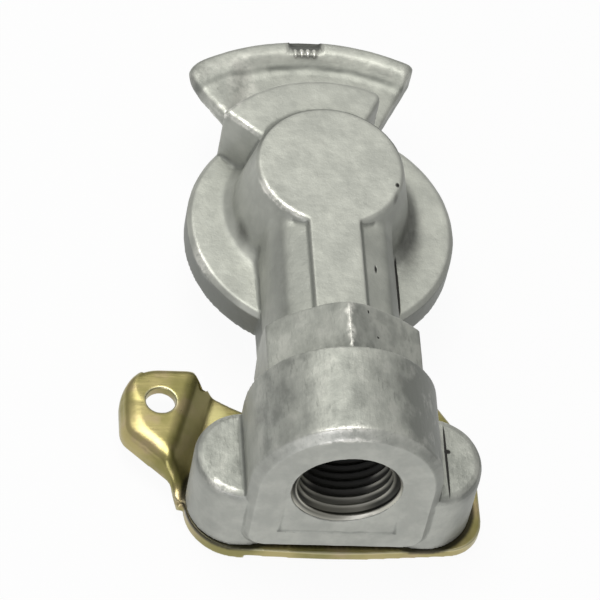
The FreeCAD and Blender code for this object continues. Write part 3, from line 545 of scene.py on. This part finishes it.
def round_rim(piece):
    """Bends the square edge round the tab into a quarter circle, as a die draws it."""
    points = coordinates(piece.data) / MM
    normals = coordinates(piece.data, "normal")
    plan = points[:, :2]
    in_tab = points[:, 2] > PLATE_TOP - TAB_MARGIN
    for axis, (low, high) in enumerate(TAB_BOX):
        in_tab &= (plan[:, axis] > low) & (plan[:, axis] < high)
    outward = (normals[:, :2] * (plan - TAB_CENTRE)).sum(axis=1) > 0
    tilt = normals[:, 2]
    wall = np.where(in_tab & outward & (np.abs(tilt) < UPRIGHT_TILT))[0]
    tree = KDTree(len(wall))
    for index in wall:
        tree.insert((*plan[index], 0), int(index))
    tree.balance()
    skin = np.where(in_tab & (tilt > LOWEST_TILT) & (outward | (tilt > FLAT_TILT)))[0]
    beside = np.array([tree.find((*plan[index], 0))[1] for index in skin])
    chosen = np.zeros(len(points), bool)
    chosen[skin] = True
    ends, count = mesh_links(piece.data, chosen)
    field = np.zeros((len(points), 3))
    field[skin, :2] = normals[beside, :2]
    field[skin, 2] = np.linalg.norm(plan[skin] - plan[beside], axis=1)
    at_wall = field[:, 2] < AT_WALL
    for _ in range(RIM_EASE):
        field[:, :] = np.where(at_wall[:, None], field, neighbour_mean(field, ends, count))
    outwards = field[skin, :2]
    outwards = outwards / np.linalg.norm(outwards, axis=1)[:, None]
    inward = field[skin, 2]
    level = plate_level(plan[skin])
    radius = np.minimum(RIM_RADIUS, RIM_FOOT + (level - PLATE_TOP) * RIM_SHARE)
    radius = radius * np.clip((RIM_END_X - plan[skin, 0]) / RIM_FADE, 0, 1)
    radius = radius * np.clip((plan[skin, 1] - RIM_TIP_Y) / RIM_FADE, 0, 1)
    radius = radius * np.clip(REAR_FADE - REAR_FADE * outwards[:, 1], 0, 1) + SMALLEST_RADIUS
    below = np.clip(level - points[skin, 2], 0, None)
    touched = (inward < radius) & (below < radius)
    angle = (1 - np.clip((inward - below) / radius, -1, 1)) * math.pi / 4
    shift = (radius * (1 - np.sin(angle)) - inward) * touched
    drop = (radius * (1 - np.cos(angle)) - below) * touched
    points[skin, :2] -= outwards * shift[:, None]
    points[skin, 2] -= drop
    print("rim points bent:", int(touched.sum()))
    move(piece.data, points * MM)


print("rim radius up to", RIM_RADIUS, "mm")

# %% [markdown]
# ## Dress the plate
# The sheet has a small nick where the ramp leaves the rear edge of the tab. Cutting it
# with a Boolean would leave long thin faces that don't relax. Moving the points behind
# a line onto that line keeps the squares. Then comes the rim, and a last relaxing evens
# out the waist, where the rim and the ramp meet.

# %% Dress the plate
NICK_X = (-26.6, -26.0, -24.2, -23.3, -22.7)
NICK_Y = (-28.0, -29.5, -32.6, -32.1, -31.0)
NICK_REAR = -27.0
REAR_CORNER = ((-27.0, -21.0, 1.5), (-32.5, -26.0, 1.0))
WAIST = ((-34.0, -20.0, 2.0), (-61.0, -44.0, 3.0))
WAIST_MARGIN = 0.2


def cut_nick(piece):
    """Trims the sheet back where the ramp leaves the rear edge of the tab."""
    points = coordinates(piece.data) / MM
    x, y = points.T[:2]
    limit = np.interp(x, NICK_X, NICK_Y)
    cut = (x > NICK_X[0]) & (x < NICK_X[-1]) & (y > limit) & (y < NICK_REAR)
    points[cut, 1] = limit[cut]
    print("nick points moved:", int(cut.sum()))
    move(piece.data, points * MM)


plate = soft_skin("connector_plate", "plate_skin", square=0.22)
relax(plate, passes=2)
cut_nick(plate)
round_rim(plate)
x, y, z = coordinates(plate.data).T / MM
relax(plate, passes=4, share=1 - inside((x, y), REAR_CORNER))
x, y, z = coordinates(plate.data).T / MM
above_plate = np.clip(z - PLATE_TOP + WAIST_MARGIN, 0, 1)
relax(plate, passes=110, share=inside((x, y), WAIST) * above_plate)
thin_out(plate, keep=0.75)

# %% [markdown]
# ## Where metal wears and where dirt stays
# Handling polishes the corners of a casting bright, and dark oxide stays in its
# roots. Both follow the curvature. A shader can guess it with the Pointiness output,
# but that is lost when the model is exported. So each point is compared here with the
# mean of its neighbours: above that mean it is a corner, below it a root. The result
# is stored on the points, where any renderer can read it.

# %% Measure corners and roots
def store(mesh, name, values):
    """Keeps one number for each point of a mesh."""
    layer = mesh.attributes.new(name, "FLOAT", "POINT")
    layer.data.foreach_set("value", values.astype(np.float32))


def measure_corners(piece, reach, passes):
    """Stores how far each point stands out of its surroundings, as corner and root."""
    mesh = piece.data
    points = coordinates(mesh)
    normals = coordinates(mesh, "normal")
    ends, count = mesh_links(mesh)
    relaxed = points
    for _ in range(passes):
        relaxed = neighbour_mean(relaxed, ends, count)
    height = ((points - relaxed) * normals).sum(axis=1) / (reach * MM)
    store(mesh, "corner", np.clip(height, 0, 1))
    store(mesh, "root", np.clip(-height, 0, 1))
    print(piece.name, "corners", round(float((height > 0.5).mean()), 3),
          "roots", round(float((height < -0.5).mean()), 3))


measure_corners(casting, reach=0.22, passes=10)
measure_corners(plate, reach=0.12, passes=10)

# %% [markdown]
# ## The dark seam
# The plate is painted nearly black where the casting stands on it, as painted shade in
# that gap. The Ambient Occlusion node would darken that gap, but only while rendering in
# Blender. So the distance from each point of the plate to the casting is looked up once
# and stored, as the corners were.

# %% Measure the seam between casting and plate
SEAM_WIDTH = 1.8
SEAM_LEVEL = PLATE_TOP + 1.0


def measure_seam(piece, neighbour):
    """Stores how close each point lies to the neighbouring piece."""
    around = coordinates(neighbour.data)
    around = around[around[:, 2] < SEAM_LEVEL * MM]
    tree = KDTree(len(around))
    for index, point in enumerate(around):
        tree.insert(point, index)
    tree.balance()
    gap = np.array([tree.find(point)[2] for point in coordinates(piece.data)]) / MM
    store(piece.data, "seam", np.clip(1 - gap / SEAM_WIDTH, 0, 1))
    print(piece.name, "seam", round(float((gap < SEAM_WIDTH).mean()), 3))


measure_seam(plate, casting)
store(teeth.data, "corner", np.ones(len(teeth.data.vertices)))

# %% [markdown]
# ## The cast aluminium
# Bare cast aluminium is neither a mirror nor a paint: a thin grey oxide with a warm,
# slightly green tone, blotched by the mould, streaked along the way it was drawn out,
# with a pebbled skin and open pits. Worn corners shine nearly white. An image could
# show all that from one side only, so noises of several sizes build it all round.

# %% Colours and places on the casting
# The darkest grey is both dark oxide and painted shade.
OXIDE_AND_SHADE_DARK = (0.200, 0.208, 0.188, 1)
OXIDE_MIDDLE = (0.435, 0.445, 0.403, 1)
OXIDE_PALE = (0.525, 0.535, 0.483, 1)
# A near black for the notch and for painted shade and shadow.
NOTCH_AND_SHADE_DARK = (0.075, 0.076, 0.068, 1)
# Near white for worn corners and smears, and for painted highlight and light.
WORN_AND_HIGHLIGHT_BRIGHT = (0.860, 0.850, 0.780, 1)
PIT_BLACK = (0.018, 0.017, 0.015, 1)
WORN_PLACES = {
    "left ridge of the shoulder": ((-17.5, 15.8, 20.3), 2.2, 2.5, (1.6, 1.3, 1)),
    "edge of the round top": ((-11.5, -6.8, 21.6), 3.5, 3.0, (1.5, 1.2, 1)),
    "corner of the hexagon": ((0.3, -42.0, 29.5), 2.0, 2.0, (0.7, 1.8, 1)),
    "rim of the port": ((-2.5, -68.0, 29.6), 1.0, 3.5, (1.8, 1, 1)),
    "left ear": ((-22.0, -64.5, 7.1), 1.0, 2.6, (1.8, 0.8, 0.6)),
    "left of the lug": ((-19.0, 32.5, 9.4), 3.0, 3.0, (0.8, 1.6, 1)),
    "left edge of the disc": ((-24.0, -8.0, 6.2), 0.6, 2.4, (1, 3, 1)),
    "teeth of the notch": ((-1.3, 43.6, 10.0), 3.0, 1.0, (1, 0.6, 0.3)),
}
# Painted light: the left end of the land, a wall in shade, and the right end of the bead are
# painted bright.
PAINTED_LIGHT_PLACES = {
    "left end of the land": ((-14.6, 35.5, 8.8), 1.8, 2.5, (1, 2.2, 1)),
    "right end of the bead": ((22.5, 33.0, 9.0), 1.0, 2.0, (1, 2.0, 1)),
}
# Stains, and painted shade: the left ear's darker top is painted shadow from the barrel, and
# the right ear's top is as dark. The dark lines along both edges of the rib are painted shade.
# The other places are stains.
STAINS_AND_SHADE = {
    "crown of the barrel": ((0.5, -57.0, 30.6), 2.5, 6.0, (1.3, 2.0, 1)),
    "left facet of the neck": ((-9.5, -22.0, 20.2), 3.5, 4.0, (0.8, 3.0, 1)),
    "left ear": ((-22.0, -58.5, 7.2), 6.0, 4.0, (1, 1.2, 0.5)),
    "right ear": ((24.0, -58.5, 7.2), 6.0, 4.0, (1, 1.2, 0.5)),
    "front left of the disc": ((-19.0, -17.0, 6.8), 1.0, 4.0, (1, 1, 1)),
    "left corner of the lug": ((-26.5, 33.0, 9.0), 1.5, 3.0, (1, 2.0, 1)),
    "left edge of the rib": ((-5.6, -22.0, 21.2), 0.8, 0.3, (0.45, 13.0, 1.6)),
    "right edge of the rib": ((5.45, -22.0, 21.7), 0.8, 0.3, (0.35, 13.0, 0.9)),
}
# Darker places: a painted shadow beside the right foot of the dome and painted shade at its
# left foot, dark spots on the right edge of the round top, and a darker far left of the lug.
SHADES = {
    "right foot of the dome": ((17.6, -1.5, 8.6), 2.0, 3.6, (0.8, 2.8, 1)),
    "left foot of the dome": ((-16.6, -4.0, 9.0), 0.1, 2.6, (0.9, 2.0, 1)),
    "right edge of the round top": ((12.9, -4.6, 21.7), 0.1, 1.1, (0.8, 2.6, 1)),
    "far left of the lug": ((-28.5, 33.5, 9.2), 0.1, 3.6, (0.7, 1.4, 1)),
}
PITS = {
    "beside the barrel": ((21.5, -55.6, 7.2), 0.45, 0.35, (0.9, 0.75, 1)),
    "on the round top": ((13.4, -1.3, 22.4), 0.30, 0.4, (0.8, 1, 1)),
    "on the right of the neck": ((7.7, -21.5, 20.6), 0.14, 0.25, (1, 3.2, 1)),
}
CREASES = {
    "between barrel and right ear": ((21.15, -58.0, 7.2), 0.9, 0.3, (0.22, 8.0, 1)),
    "along the right of the neck": ((14.6, -15.5, 7.2), 0.8, 0.5, (0.35, 8.0, 1)),
}
print("worn places:", len(WORN_PLACES) + len(PAINTED_LIGHT_PLACES), "dark ones:", len(STAINS_AND_SHADE) + len(SHADES),
      "pits and creases:", len(PITS) + len(CREASES))

# %% [markdown]
# ## Masks for the parts of the casting
# A mask is 1 on one part of the object, 0 elsewhere, and fades between. Masks could be
# painted, but a painted one is lost when the skin is made again. These follow from
# position and direction. Each pair of numbers says where a mask starts to rise and
# where it is full.

# %% Mask the parts of the casting
TURNED_Y = (-37.0, -33.0)
UPWARD = (0.15, 0.5)
LUG_Y = (26, 30)
LUG_Z = (6.0, 7.0)
LUG_END_SQUARES = (120, 560)
DISC_WALL = (0.2, 0.6)
DISC_TOP_Z = (6.5, 7.5)
DISC_FRONT_Y = (-30, -27)
DISC_BACK_Y = (0, 12)
NECK_FRONT_Y = (-36, -33)
NECK_BACK_Y = (-13, -9)
NECK_Z = (10, 14)
NOTCH_MOUTH_Y = 46.0
NOTCH_NARROWS = 0.30
NOTCH_EDGE = (3.2, 3.9)
NOTCH_Y = (41.8, 42.8)
NOTCH_FLOOR_Z = (7.0, 7.6)
NOTCH_TOP_Z = (9.60, 10.1)


def any_of(finish, places):
    """1 at each of the places, 0 away from them all."""
    total = 0.0
    for point, reach, soft, stretch in places.values():
        total = finish.near(point, reach, soft, stretch) + total
    return total.clip()


def squared(mask):
    return mask * mask


def on_lug(finish):
    """1 on the top of the lug."""
    return finish.axis("Y").above(*LUG_Y) * finish.axis("Z").above(*LUG_Z)


def disc_side(finish):
    """1 on the upright wall round the front half of the disc."""
    wall = 1 - finish.facing("Z").above(*DISC_WALL)
    below_top = 1 - finish.axis("Z").above(*DISC_TOP_Z)
    along = finish.axis("Y")
    return wall * below_top * along.above(*DISC_FRONT_Y) * (1 - along.above(*DISC_BACK_Y))


def on_neck(finish):
    """1 on the upper part of the neck."""
    along = finish.axis("Y")
    return (along.above(*NECK_FRONT_Y) * (1 - along.above(*NECK_BACK_Y))
            * finish.axis("Z").above(*NECK_Z))


def in_notch(finish):
    """1 in the notch of the bead, which narrows towards the land."""
    aside = finish.node("ShaderNodeMath", {"operation": "ABSOLUTE"},
                        {0: finish.axis("X") - NOTCH_X})
    narrowing = aside + (NOTCH_MOUTH_Y - finish.axis("Y")) * NOTCH_NARROWS
    height = finish.axis("Z")
    return ((1 - narrowing.above(*NOTCH_EDGE))
            * finish.axis("Y").above(*NOTCH_Y) * height.above(*NOTCH_FLOOR_Z)
            * (1 - height.above(*NOTCH_TOP_Z)))


print("notch mask fades", NOTCH_EDGE, "mm from its middle")

# %% [markdown]
# ## Mix the casting finish
# The colours go on in layers: oxide, stains and painted shade, painted shadow and dark spots,
# scratches and smears, worn corners, a painted highlight along the bead, dark oxide in the
# roots with painted shade along the bead's edge and behind the round top, a dark notch, and
# pits. One long formula would do the same, but in layers a later one simply covers the
# earlier ones, so a shiny corner stays bright in a dark stain.

# %% Mix the casting finish
FOOT_RING = (40.7, 0.15, 0.9)
RIM_SHADE_RING = (47.2, 0.5, 1.3)
CREST_RING = (43.4, 0.5, 1.5)
TOP_SHADOW_RING = (14.9, 0.25, 0.25)
TOP_EDGE_Z = (21.3, 21.8)
TOP_BACK_Y = (5, 10)
CLEAN_LAND_END = ((-14.6, 36.0, 8.8), 4.0, 3.0)
PIT_NOISE = (0.800, 0.815)
RELIEF_DEPTH = 0.14


def cast_aluminium():
    finish = Finish("cast_aluminium")
    blotch = finish.noise(5.0, detail=5, roughness=0.62)
    streak = finish.noise(0.6, detail=4, roughness=0.6, stretch=(1, 5, 1), offset=3.0)
    grain = finish.noise(0.35, detail=2, roughness=0.5)
    pebbles = finish.noise(1.6, detail=4, roughness=0.6, offset=7.0)
    patches = finish.noise(4.0, detail=4, roughness=0.6, stretch=(1, 1.6, 1), offset=9.0)
    upward = finish.facing("Z").above(*UPWARD)
    turned = (1 - finish.axis("Y").above(*TURNED_Y)) * upward
    sideways = finish.facing("X")
    flanks = squared(sideways).above(0.04, 0.50)
    to_the_right = sideways.above(0.05, 0.45)
    lug = on_lug(finish)
    lug_ends = lug * squared(finish.axis("X")).above(*LUG_END_SQUARES)
    colour = finish.blend(blotch.above(0.34, 0.68), OXIDE_MIDDLE, OXIDE_PALE)

    # Painted shade: walls that face sideways are darker, and those facing right darker still,
    # more so on the hexagon and barrel. The upright wall of the disc is painted dark as shade,
    # and the neck a little darker, its right side more. The patches, the ends of the lug and
    # the listed stains darken too.
    side_shade = 0.24 + to_the_right * 0.31 + turned * (0.14 + to_the_right * 0.30)
    stain_and_shade = (patches.above(0.44, 0.70) * (0.10 + turned * 0.34)
               + flanks * (1 - lug) * side_shade
               + turned * 0.05
               + any_of(finish, STAINS_AND_SHADE) * (0.22 + 0.2 * pebbles)
               + disc_side(finish) * 0.75
               + on_neck(finish) * (0.10 + to_the_right * 0.20)
               + lug_ends * (0.20 + patches.above(0.40, 0.62) * 0.45)).clip()
    colour = finish.blend(stain_and_shade, colour, OXIDE_AND_SHADE_DARK)
    # Painted shadow and shade, with a few dark spots, at the places listed above.
    colour = finish.blend(any_of(finish, SHADES) * (0.35 + pebbles * 0.6), colour, NOTCH_AND_SHADE_DARK)
    scratches = streak.above(0.54, 0.66) * blotch.above(0.42, 0.60) * turned
    colour = finish.blend(scratches * 0.50, colour, OXIDE_AND_SHADE_DARK)
    smears = (1 - patches.above(0.34, 0.46)) * turned
    colour = finish.blend(smears * 0.15, colour, WORN_AND_HIGHLIGHT_BRIGHT)

    worn = any_of(finish, WORN_PLACES) * pebbles.above(0.34, 0.56)
    wear = (finish.stored("corner").above(0.22, 0.8) * (worn + 0.04)).clip()
    colour = finish.blend(wear * 0.95, colour, WORN_AND_HIGHLIGHT_BRIGHT)
    # Painted highlight: a bright ring along the crest of the bead, with painted light at the
    # places above.
    painted_highlight = (finish.ring(*CREST_RING) * lug * 0.5 + any_of(finish, PAINTED_LIGHT_PLACES)).clip()
    colour = finish.blend(painted_highlight * pebbles.above(0.30, 0.60) * 0.45, colour, WORN_AND_HIGHLIGHT_BRIGHT)

    # Painted shadow: a thin dark line on the shoulder along the back of the round top.
    top_shadow_line = (finish.ring(*TOP_SHADOW_RING, DOME_CENTRE) * finish.axis("Z").above(*TOP_EDGE_Z)
                * finish.axis("Y").above(*TOP_BACK_Y))
    roots = finish.stored("root").above(0.2, 0.8) * (1 - finish.near(*CLEAN_LAND_END))
    # Dark oxide in the roots, a dark line at the foot of the bead, and painted shade along the
    # outer edge of the bead and behind the round top.
    grime_and_shade = (roots * 0.75 + finish.ring(*FOOT_RING) * lug * 0.5
             + finish.ring(*RIM_SHADE_RING) * lug * 0.75 + top_shadow_line * 0.9).clip()
    colour = finish.blend(grime_and_shade, colour, OXIDE_AND_SHADE_DARK)
    colour = finish.blend(in_notch(finish) * 0.85, colour, NOTCH_AND_SHADE_DARK)
    open_pits = finish.noise(2.4, detail=1, offset=11.0).above(*PIT_NOISE) * upward
    pits = (open_pits + any_of(finish, PITS) + any_of(finish, CREASES)).clip()
    colour = finish.blend(pits, colour, PIT_BLACK)

    relief = pebbles * 0.6 + grain * 0.15 + streak * turned * 0.3 - pits * 1.2
    return finish.surface(Base_Color=colour, Metallic=0.55,
                          Roughness=0.52 - wear * 0.20 + grime_and_shade * 0.1,
                          Normal=finish.bump(relief, RELIEF_DEPTH))


cast = cast_aluminium()
casting.data.materials.append(cast)
teeth.data.materials.append(cast)
print("casting finish:", len(casting.data.materials[0].node_tree.nodes), "nodes")

# %% [markdown]
# ## The yellow zinc plate
# The plate is pressed steel, zinc plated and dipped yellow. The dip leaves a thin
# film whose tint drifts between straw, olive and a little pink. A car paint shader
# would be too even, so two wide noises drift the tint, and the metal stays glossy.

# %% Mix the plate finish
STRAW = (0.440, 0.375, 0.165, 1)
OLIVE = (0.265, 0.240, 0.085, 1)
PINKISH = (0.450, 0.340, 0.220, 1)
BARE_ZINC = (0.800, 0.770, 0.560, 1)
HIGHLIGHT_YELLOW = (0.780, 0.720, 0.330, 1)
SEAM_SHADE_BLACK = (0.020, 0.019, 0.014, 1)
REFLECTED_DARK_OLIVE = (0.150, 0.135, 0.048, 1)
# Painted highlights of pale yellow at the foot of the ramp and on the waist of the rim.
PAINTED_HIGHLIGHTS = {
    "foot of the ramp": ((-21.3, -37.5, -9.6), 1.0, 2.0, (1, 1.5, 1)),
    "waist of the rim": ((-26.0, -55.5, -6.5), 0.8, 1.5, (1, 1.6, 1)),
}
TAB_TIP = ((-27.0, -59.0, -8.0), 3.0, 2.0)


def yellow_zinc():
    finish = Finish("yellow_zinc")
    drift = finish.noise(9.0, detail=3, roughness=0.5)
    tint = finish.noise(5.0, detail=2, roughness=0.5, offset=5.0)
    rolled = finish.noise(0.5, detail=3, roughness=0.6, stretch=(8, 1, 1))
    colour = finish.blend(drift.above(0.35, 0.65), STRAW, OLIVE)
    colour = finish.blend(tint.above(0.50, 0.68) * 0.5, colour, PINKISH)
    # Painted reflection: faces that turn to the right and upwards, as the ramp does, are
    # painted dark olive.
    ramp = finish.facing("X").above(0.30, 0.65) * finish.facing("Z").above(0.2, 0.5)
    colour = finish.blend(ramp * 0.75, colour, REFLECTED_DARK_OLIVE)
    # Painted highlights at the places above.
    colour = finish.blend(any_of(finish, PAINTED_HIGHLIGHTS) * 0.6, colour, HIGHLIGHT_YELLOW)
    wear = finish.stored("corner").above(0.45, 1.0) * (1 - finish.near(*TAB_TIP))
    colour = finish.blend(wear * 0.35, colour, BARE_ZINC)
    colour = finish.blend(finish.stored("root").above(0.4, 1.0) * 0.5, colour, OLIVE)
    # Painted shade, nearly black, in the gap beside the casting.
    colour = finish.blend(finish.stored("seam").above(0.15, 0.6) * 0.9, colour, SEAM_SHADE_BLACK)
    return finish.surface(Base_Color=colour, Metallic=0.85,
                          Roughness=0.24 + rolled * 0.12,
                          Normal=finish.bump(rolled, 0.02))


plate.data.materials.append(yellow_zinc())
print("plate finish:", len(plate.data.materials[0].node_tree.nodes), "nodes")

# %% [markdown]
# ## The pipe thread
# The port holds a half inch pipe thread, 14 turns to the inch, whose radius shrinks by
# 1 in 32 on its way in. A bump of rings would look like a stack of washers. A real
# thread is one ridge that climbs as it goes round, so its profile is swept along a
# helix. The mouth is countersunk, and that cone simply cuts off whatever ridge stands
# inside it.

# %% Sweep the thread
PITCH = 25.4 / 14
TAPER = 32
SPARE_TURNS = 3
THREAD_ROOT = 10.52
THREAD_CREST = 9.25
MOUTH_RADIUS = 10.95
PORT_AXIS_Z = 12.0
PORT_MOUTH_Y = -68.7
THREAD_END_Y = -52.3
STEPS_ROUND = 96
RIDGE = ((0.0, 0.0), (0.10, 0.0), (0.46, 1.0), (0.56, 1.0), (0.92, 0.0))


def thread_radius(share_up, depth):
    """The thread's radius at a share of the ridge's height, so deep inside the mouth."""
    ridge = THREAD_ROOT - depth / TAPER + (THREAD_CREST - THREAD_ROOT) * share_up
    return min(max(ridge, MOUTH_RADIUS - depth), MOUTH_RADIUS)


def make_thread():
    """One ridge swept along a helix, and cut off flat at both ends."""
    mesh = bmesh.new()
    turns = int((THREAD_END_Y - PORT_MOUTH_Y) / PITCH) + SPARE_TURNS
    height = mesh.verts.layers.float.new("ridge")
    rows = []
    for step in range(turns * STEPS_ROUND + 1):
        angle = 2 * math.pi * step / STEPS_ROUND
        row = []
        for along, share_up in RIDGE:
            y = PORT_MOUTH_Y + PITCH * (step / STEPS_ROUND + along - SPARE_TURNS / 2)
            radius = thread_radius(share_up, max(y - PORT_MOUTH_Y, 0))
            point = mesh.verts.new((radius * math.sin(angle) * MM, y * MM,
                                    (PORT_AXIS_Z + radius * math.cos(angle)) * MM))
            point[height] = share_up
            row.append(point)
        rows.append(row)
    for step in range((turns - 1) * STEPS_ROUND):
        here = rows[step] + [rows[step + STEPS_ROUND][0]]
        ahead = rows[step + 1] + [rows[step + STEPS_ROUND + 1][0]]
        for strip in range(len(RIDGE)):
            mesh.faces.new((here[strip], here[strip + 1], ahead[strip + 1], ahead[strip]))
    for y, side in ((PORT_MOUTH_Y, -1), (THREAD_END_Y, 1)):
        everything = mesh.verts[:] + mesh.edges[:] + mesh.faces[:]
        bmesh.ops.bisect_plane(mesh, geom=everything, plane_co=(0, y * MM, 0),
                               plane_no=(0, side, 0), clear_outer=True)
    thread = new_object("port_thread", smooth_mesh(mesh, "port_thread"))
    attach(thread, "root")
    return thread


thread = make_thread()
print("thread faces:", len(thread.data.polygons))

# %% [markdown]
# ## The cut metal of the thread
# A tap cuts the thread after casting, so its crests are bright and carry fine tool
# lines along the helix; near the mouth the crests are brighter towards the sides. Its
# roots are painted dark as shade, and deeper in the port the whole wall is painted dark
# as shade, its crests darker than its roots so that they don't stand out as rings. The
# height of the ridge was stored while it was swept, so the finish reads that instead of
# guessing it.

# %% Mix the thread finish
CUT_METAL = (0.590, 0.580, 0.500, 1)
CREST_SHADE_DARK = (0.020, 0.020, 0.017, 1)
ROOT_SHADE_DARK = (0.072, 0.073, 0.063, 1)
GREASY_METAL = (0.190, 0.185, 0.150, 1)
SHADE_START_DEPTH = 3.4
SHADE_FULL_DEPTH = 6.8
SHALLOW_DEPTH = 1.5
MOUTH_DEPTHS = (0.2, 0.9)
ASIDE_SQUARES = (12, 60)


def tapped_metal():
    finish = Finish("tapped_metal")
    lines = finish.noise(0.25, detail=2, stretch=(30, 1, 30))
    depth = finish.axis("Y") - PORT_MOUTH_Y
    aside = squared(finish.axis("X")).above(*ASIDE_SQUARES)
    # Painted shade: darker deeper in the port, and later at the sides.
    deep = (depth - aside * 3.0).above(SHADE_START_DEPTH, SHADE_FULL_DEPTH)
    ridge = finish.stored("ridge")
    bright = ridge.above(0.45, 1.0) * (1 - deep) * (0.45 + aside * 0.45)
    mouth = 1 - depth.above(*MOUTH_DEPTHS)
    shallow = 1 - depth.above(SHALLOW_DEPTH, SHADE_FULL_DEPTH)
    # Painted shade: crests darker than roots, so the light they catch doesn't show.
    colour = finish.blend(ridge, ROOT_SHADE_DARK, CREST_SHADE_DARK)
    colour = finish.blend(shallow * (1 - aside) * 0.7, colour, GREASY_METAL)
    colour = finish.blend((bright + mouth).clip(), colour, CUT_METAL)
    return finish.surface(Base_Color=colour, Metallic=0.7 - deep * 0.6,
                          Roughness=0.28 + lines * 0.15 + deep * 0.55,
                          Normal=finish.bump(lines, 0.03))


thread.data.materials.append(tapped_metal())
print("thread finish:", len(thread.data.materials[0].node_tree.nodes), "nodes")

# %% [markdown]
# ## Seal and rivets
# The moulded rubber seal and the plain steel rivets have the right shape already, so
# their solids stay and only get a finish. Rubber is a very dark, rough surface with a
# faint bloom. The rivets are clouded steel with fine scuffs.

# %% Finish the seal and the rivets
RUBBER_BLACK = (0.014, 0.014, 0.015, 1)
RUBBER_BLOOM = (0.035, 0.035, 0.036, 1)
STEEL_PALE = (0.420, 0.405, 0.360, 1)
STEEL_DULL = (0.250, 0.235, 0.200, 1)


def moulded_rubber():
    finish = Finish("moulded_rubber")
    bloom = finish.noise(4.0, detail=4, roughness=0.6)
    speckle = finish.noise(0.3, detail=2, offset=4.0)
    colour = finish.blend(bloom.above(0.4, 0.7), RUBBER_BLACK, RUBBER_BLOOM)
    return finish.surface(Base_Color=colour, Roughness=0.55 + bloom * 0.25,
                          Normal=finish.bump(speckle, 0.03))


def rivet_steel():
    finish = Finish("rivet_steel")
    cloud = finish.noise(2.5, detail=4, roughness=0.6)
    scuff = finish.noise(0.35, detail=3, stretch=(4, 1, 1), offset=6.0)
    colour = finish.blend(cloud.above(0.38, 0.66), STEEL_PALE, STEEL_DULL)
    return finish.surface(Base_Color=colour, Metallic=0.85, Roughness=0.34 + scuff * 0.2,
                          Normal=finish.bump(scuff, 0.03))


rubber = moulded_rubber()
steel = rivet_steel()
for node, material in (("seal", rubber), ("rivet_left", steel), ("rivet_right", steel)):
    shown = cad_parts[node]
    shown.data.materials.clear()
    shown.data.materials.append(material)
print("seal and rivets finished")

# %% [markdown]
# ## Floor, lamps and backdrop
# The object lies on a plain white ground. Soft light from large lamps shows the form
# of grey metal best: a broad one above the lug, a weaker one at the front left, and the
# white world fills the rest. The ground shows the camera a plain white, mixed with its
# lit surface so that the object's shadow stays.

# %% Build the stage
GROUND = solid_box[0].z - 0.05 * MM
GROUND_HALF = 1.5
GROUND_GREY = (0.80, 0.80, 0.80, 1)
GROUND_GLOW = 0.95
WHITE = (1, 1, 1, 1)
SKY_LIGHT = 0.19
BACKDROP_LIGHT = 0.50
LAMPS = {
    "lamp_above": ((-0.10, 0.10, 0.60), 0.36, 2.55, (1.0, 1.0, 0.96)),
    "lamp_front": ((-0.20, -0.52, 0.22), 0.30, 0.80, (0.93, 0.92, 1.0)),
}


def pale_ground():
    """White to the camera and to mirrored or passing rays, grey to the light."""
    finish = Finish("pale_ground")
    seen = finish.node("ShaderNodeLightPath", take="Is Camera Ray")
    mirrored = finish.node("ShaderNodeLightPath", take="Is Glossy Ray")
    through = finish.node("ShaderNodeLightPath", take="Is Transmission Ray")
    rays = (seen + mirrored + through).clip()
    lit = finish.node("ShaderNodeBsdfDiffuse", None, {"Color": GROUND_GREY})
    white = finish.node("ShaderNodeEmission", None, {"Color": WHITE, "Strength": 1.0})
    return finish.shown(finish.node("ShaderNodeMixShader", None,
                                    {0: rays * GROUND_GLOW, 1: lit, 2: white}))


def make_ground():
    half = GROUND_HALF
    corners = [(-half, -half, GROUND), (half, -half, GROUND), (half, half, GROUND),
               (-half, half, GROUND)]
    data = bpy.data.meshes.new("ground")
    data.from_pydata(corners, [], [(0, 1, 2, 3)])
    data.materials.append(pale_ground())
    ground = new_object("ground", data)


def make_lamp(name, place, size, watts, colour):
    """A square lamp of this size in metres that shines at the origin."""
    lamp = bpy.data.lights.new(name, "AREA")
    lamp.size = size
    lamp.energy = watts
    lamp.color = colour
    holder = new_object(name, lamp)
    holder.location = place
    holder.rotation_euler = (-Vector(place)).to_track_quat("-Z", "Y").to_euler()


def make_world():
    """A dim white sky for the light, and a pale backdrop for what the eye sees."""
    world = bpy.data.worlds.new("studio")
    world.use_nodes = True
    nodes = world.node_tree.nodes
    links = world.node_tree.links
    sky = nodes["Background"]
    sky.inputs["Color"].default_value = WHITE
    sky.inputs["Strength"].default_value = SKY_LIGHT
    backdrop = nodes.new("ShaderNodeBackground")
    backdrop.inputs["Color"].default_value = WHITE
    backdrop.inputs["Strength"].default_value = BACKDROP_LIGHT
    rays = nodes.new("ShaderNodeLightPath")
    seen = rays.outputs["Is Camera Ray"]
    for kind in ("Is Glossy Ray", "Is Transmission Ray"):
        either = nodes.new("ShaderNodeMath")
        either.operation = "MAXIMUM"
        links.new(seen, either.inputs[0])
        links.new(rays.outputs[kind], either.inputs[1])
        seen = either.outputs[0]
    mixed = nodes.new("ShaderNodeMixShader")
    links.new(seen, mixed.inputs[0])
    links.new(sky.outputs[0], mixed.inputs[1])
    links.new(backdrop.outputs[0], mixed.inputs[2])
    links.new(mixed.outputs[0], nodes["World Output"].inputs["Surface"])
    bpy.context.scene.world = world


make_ground()
for name, values in LAMPS.items():
    make_lamp(name, *values)
make_world()
bpy.context.scene.view_settings.view_transform = "Standard"
print("ground at", round(GROUND / MM, 2), "mm")
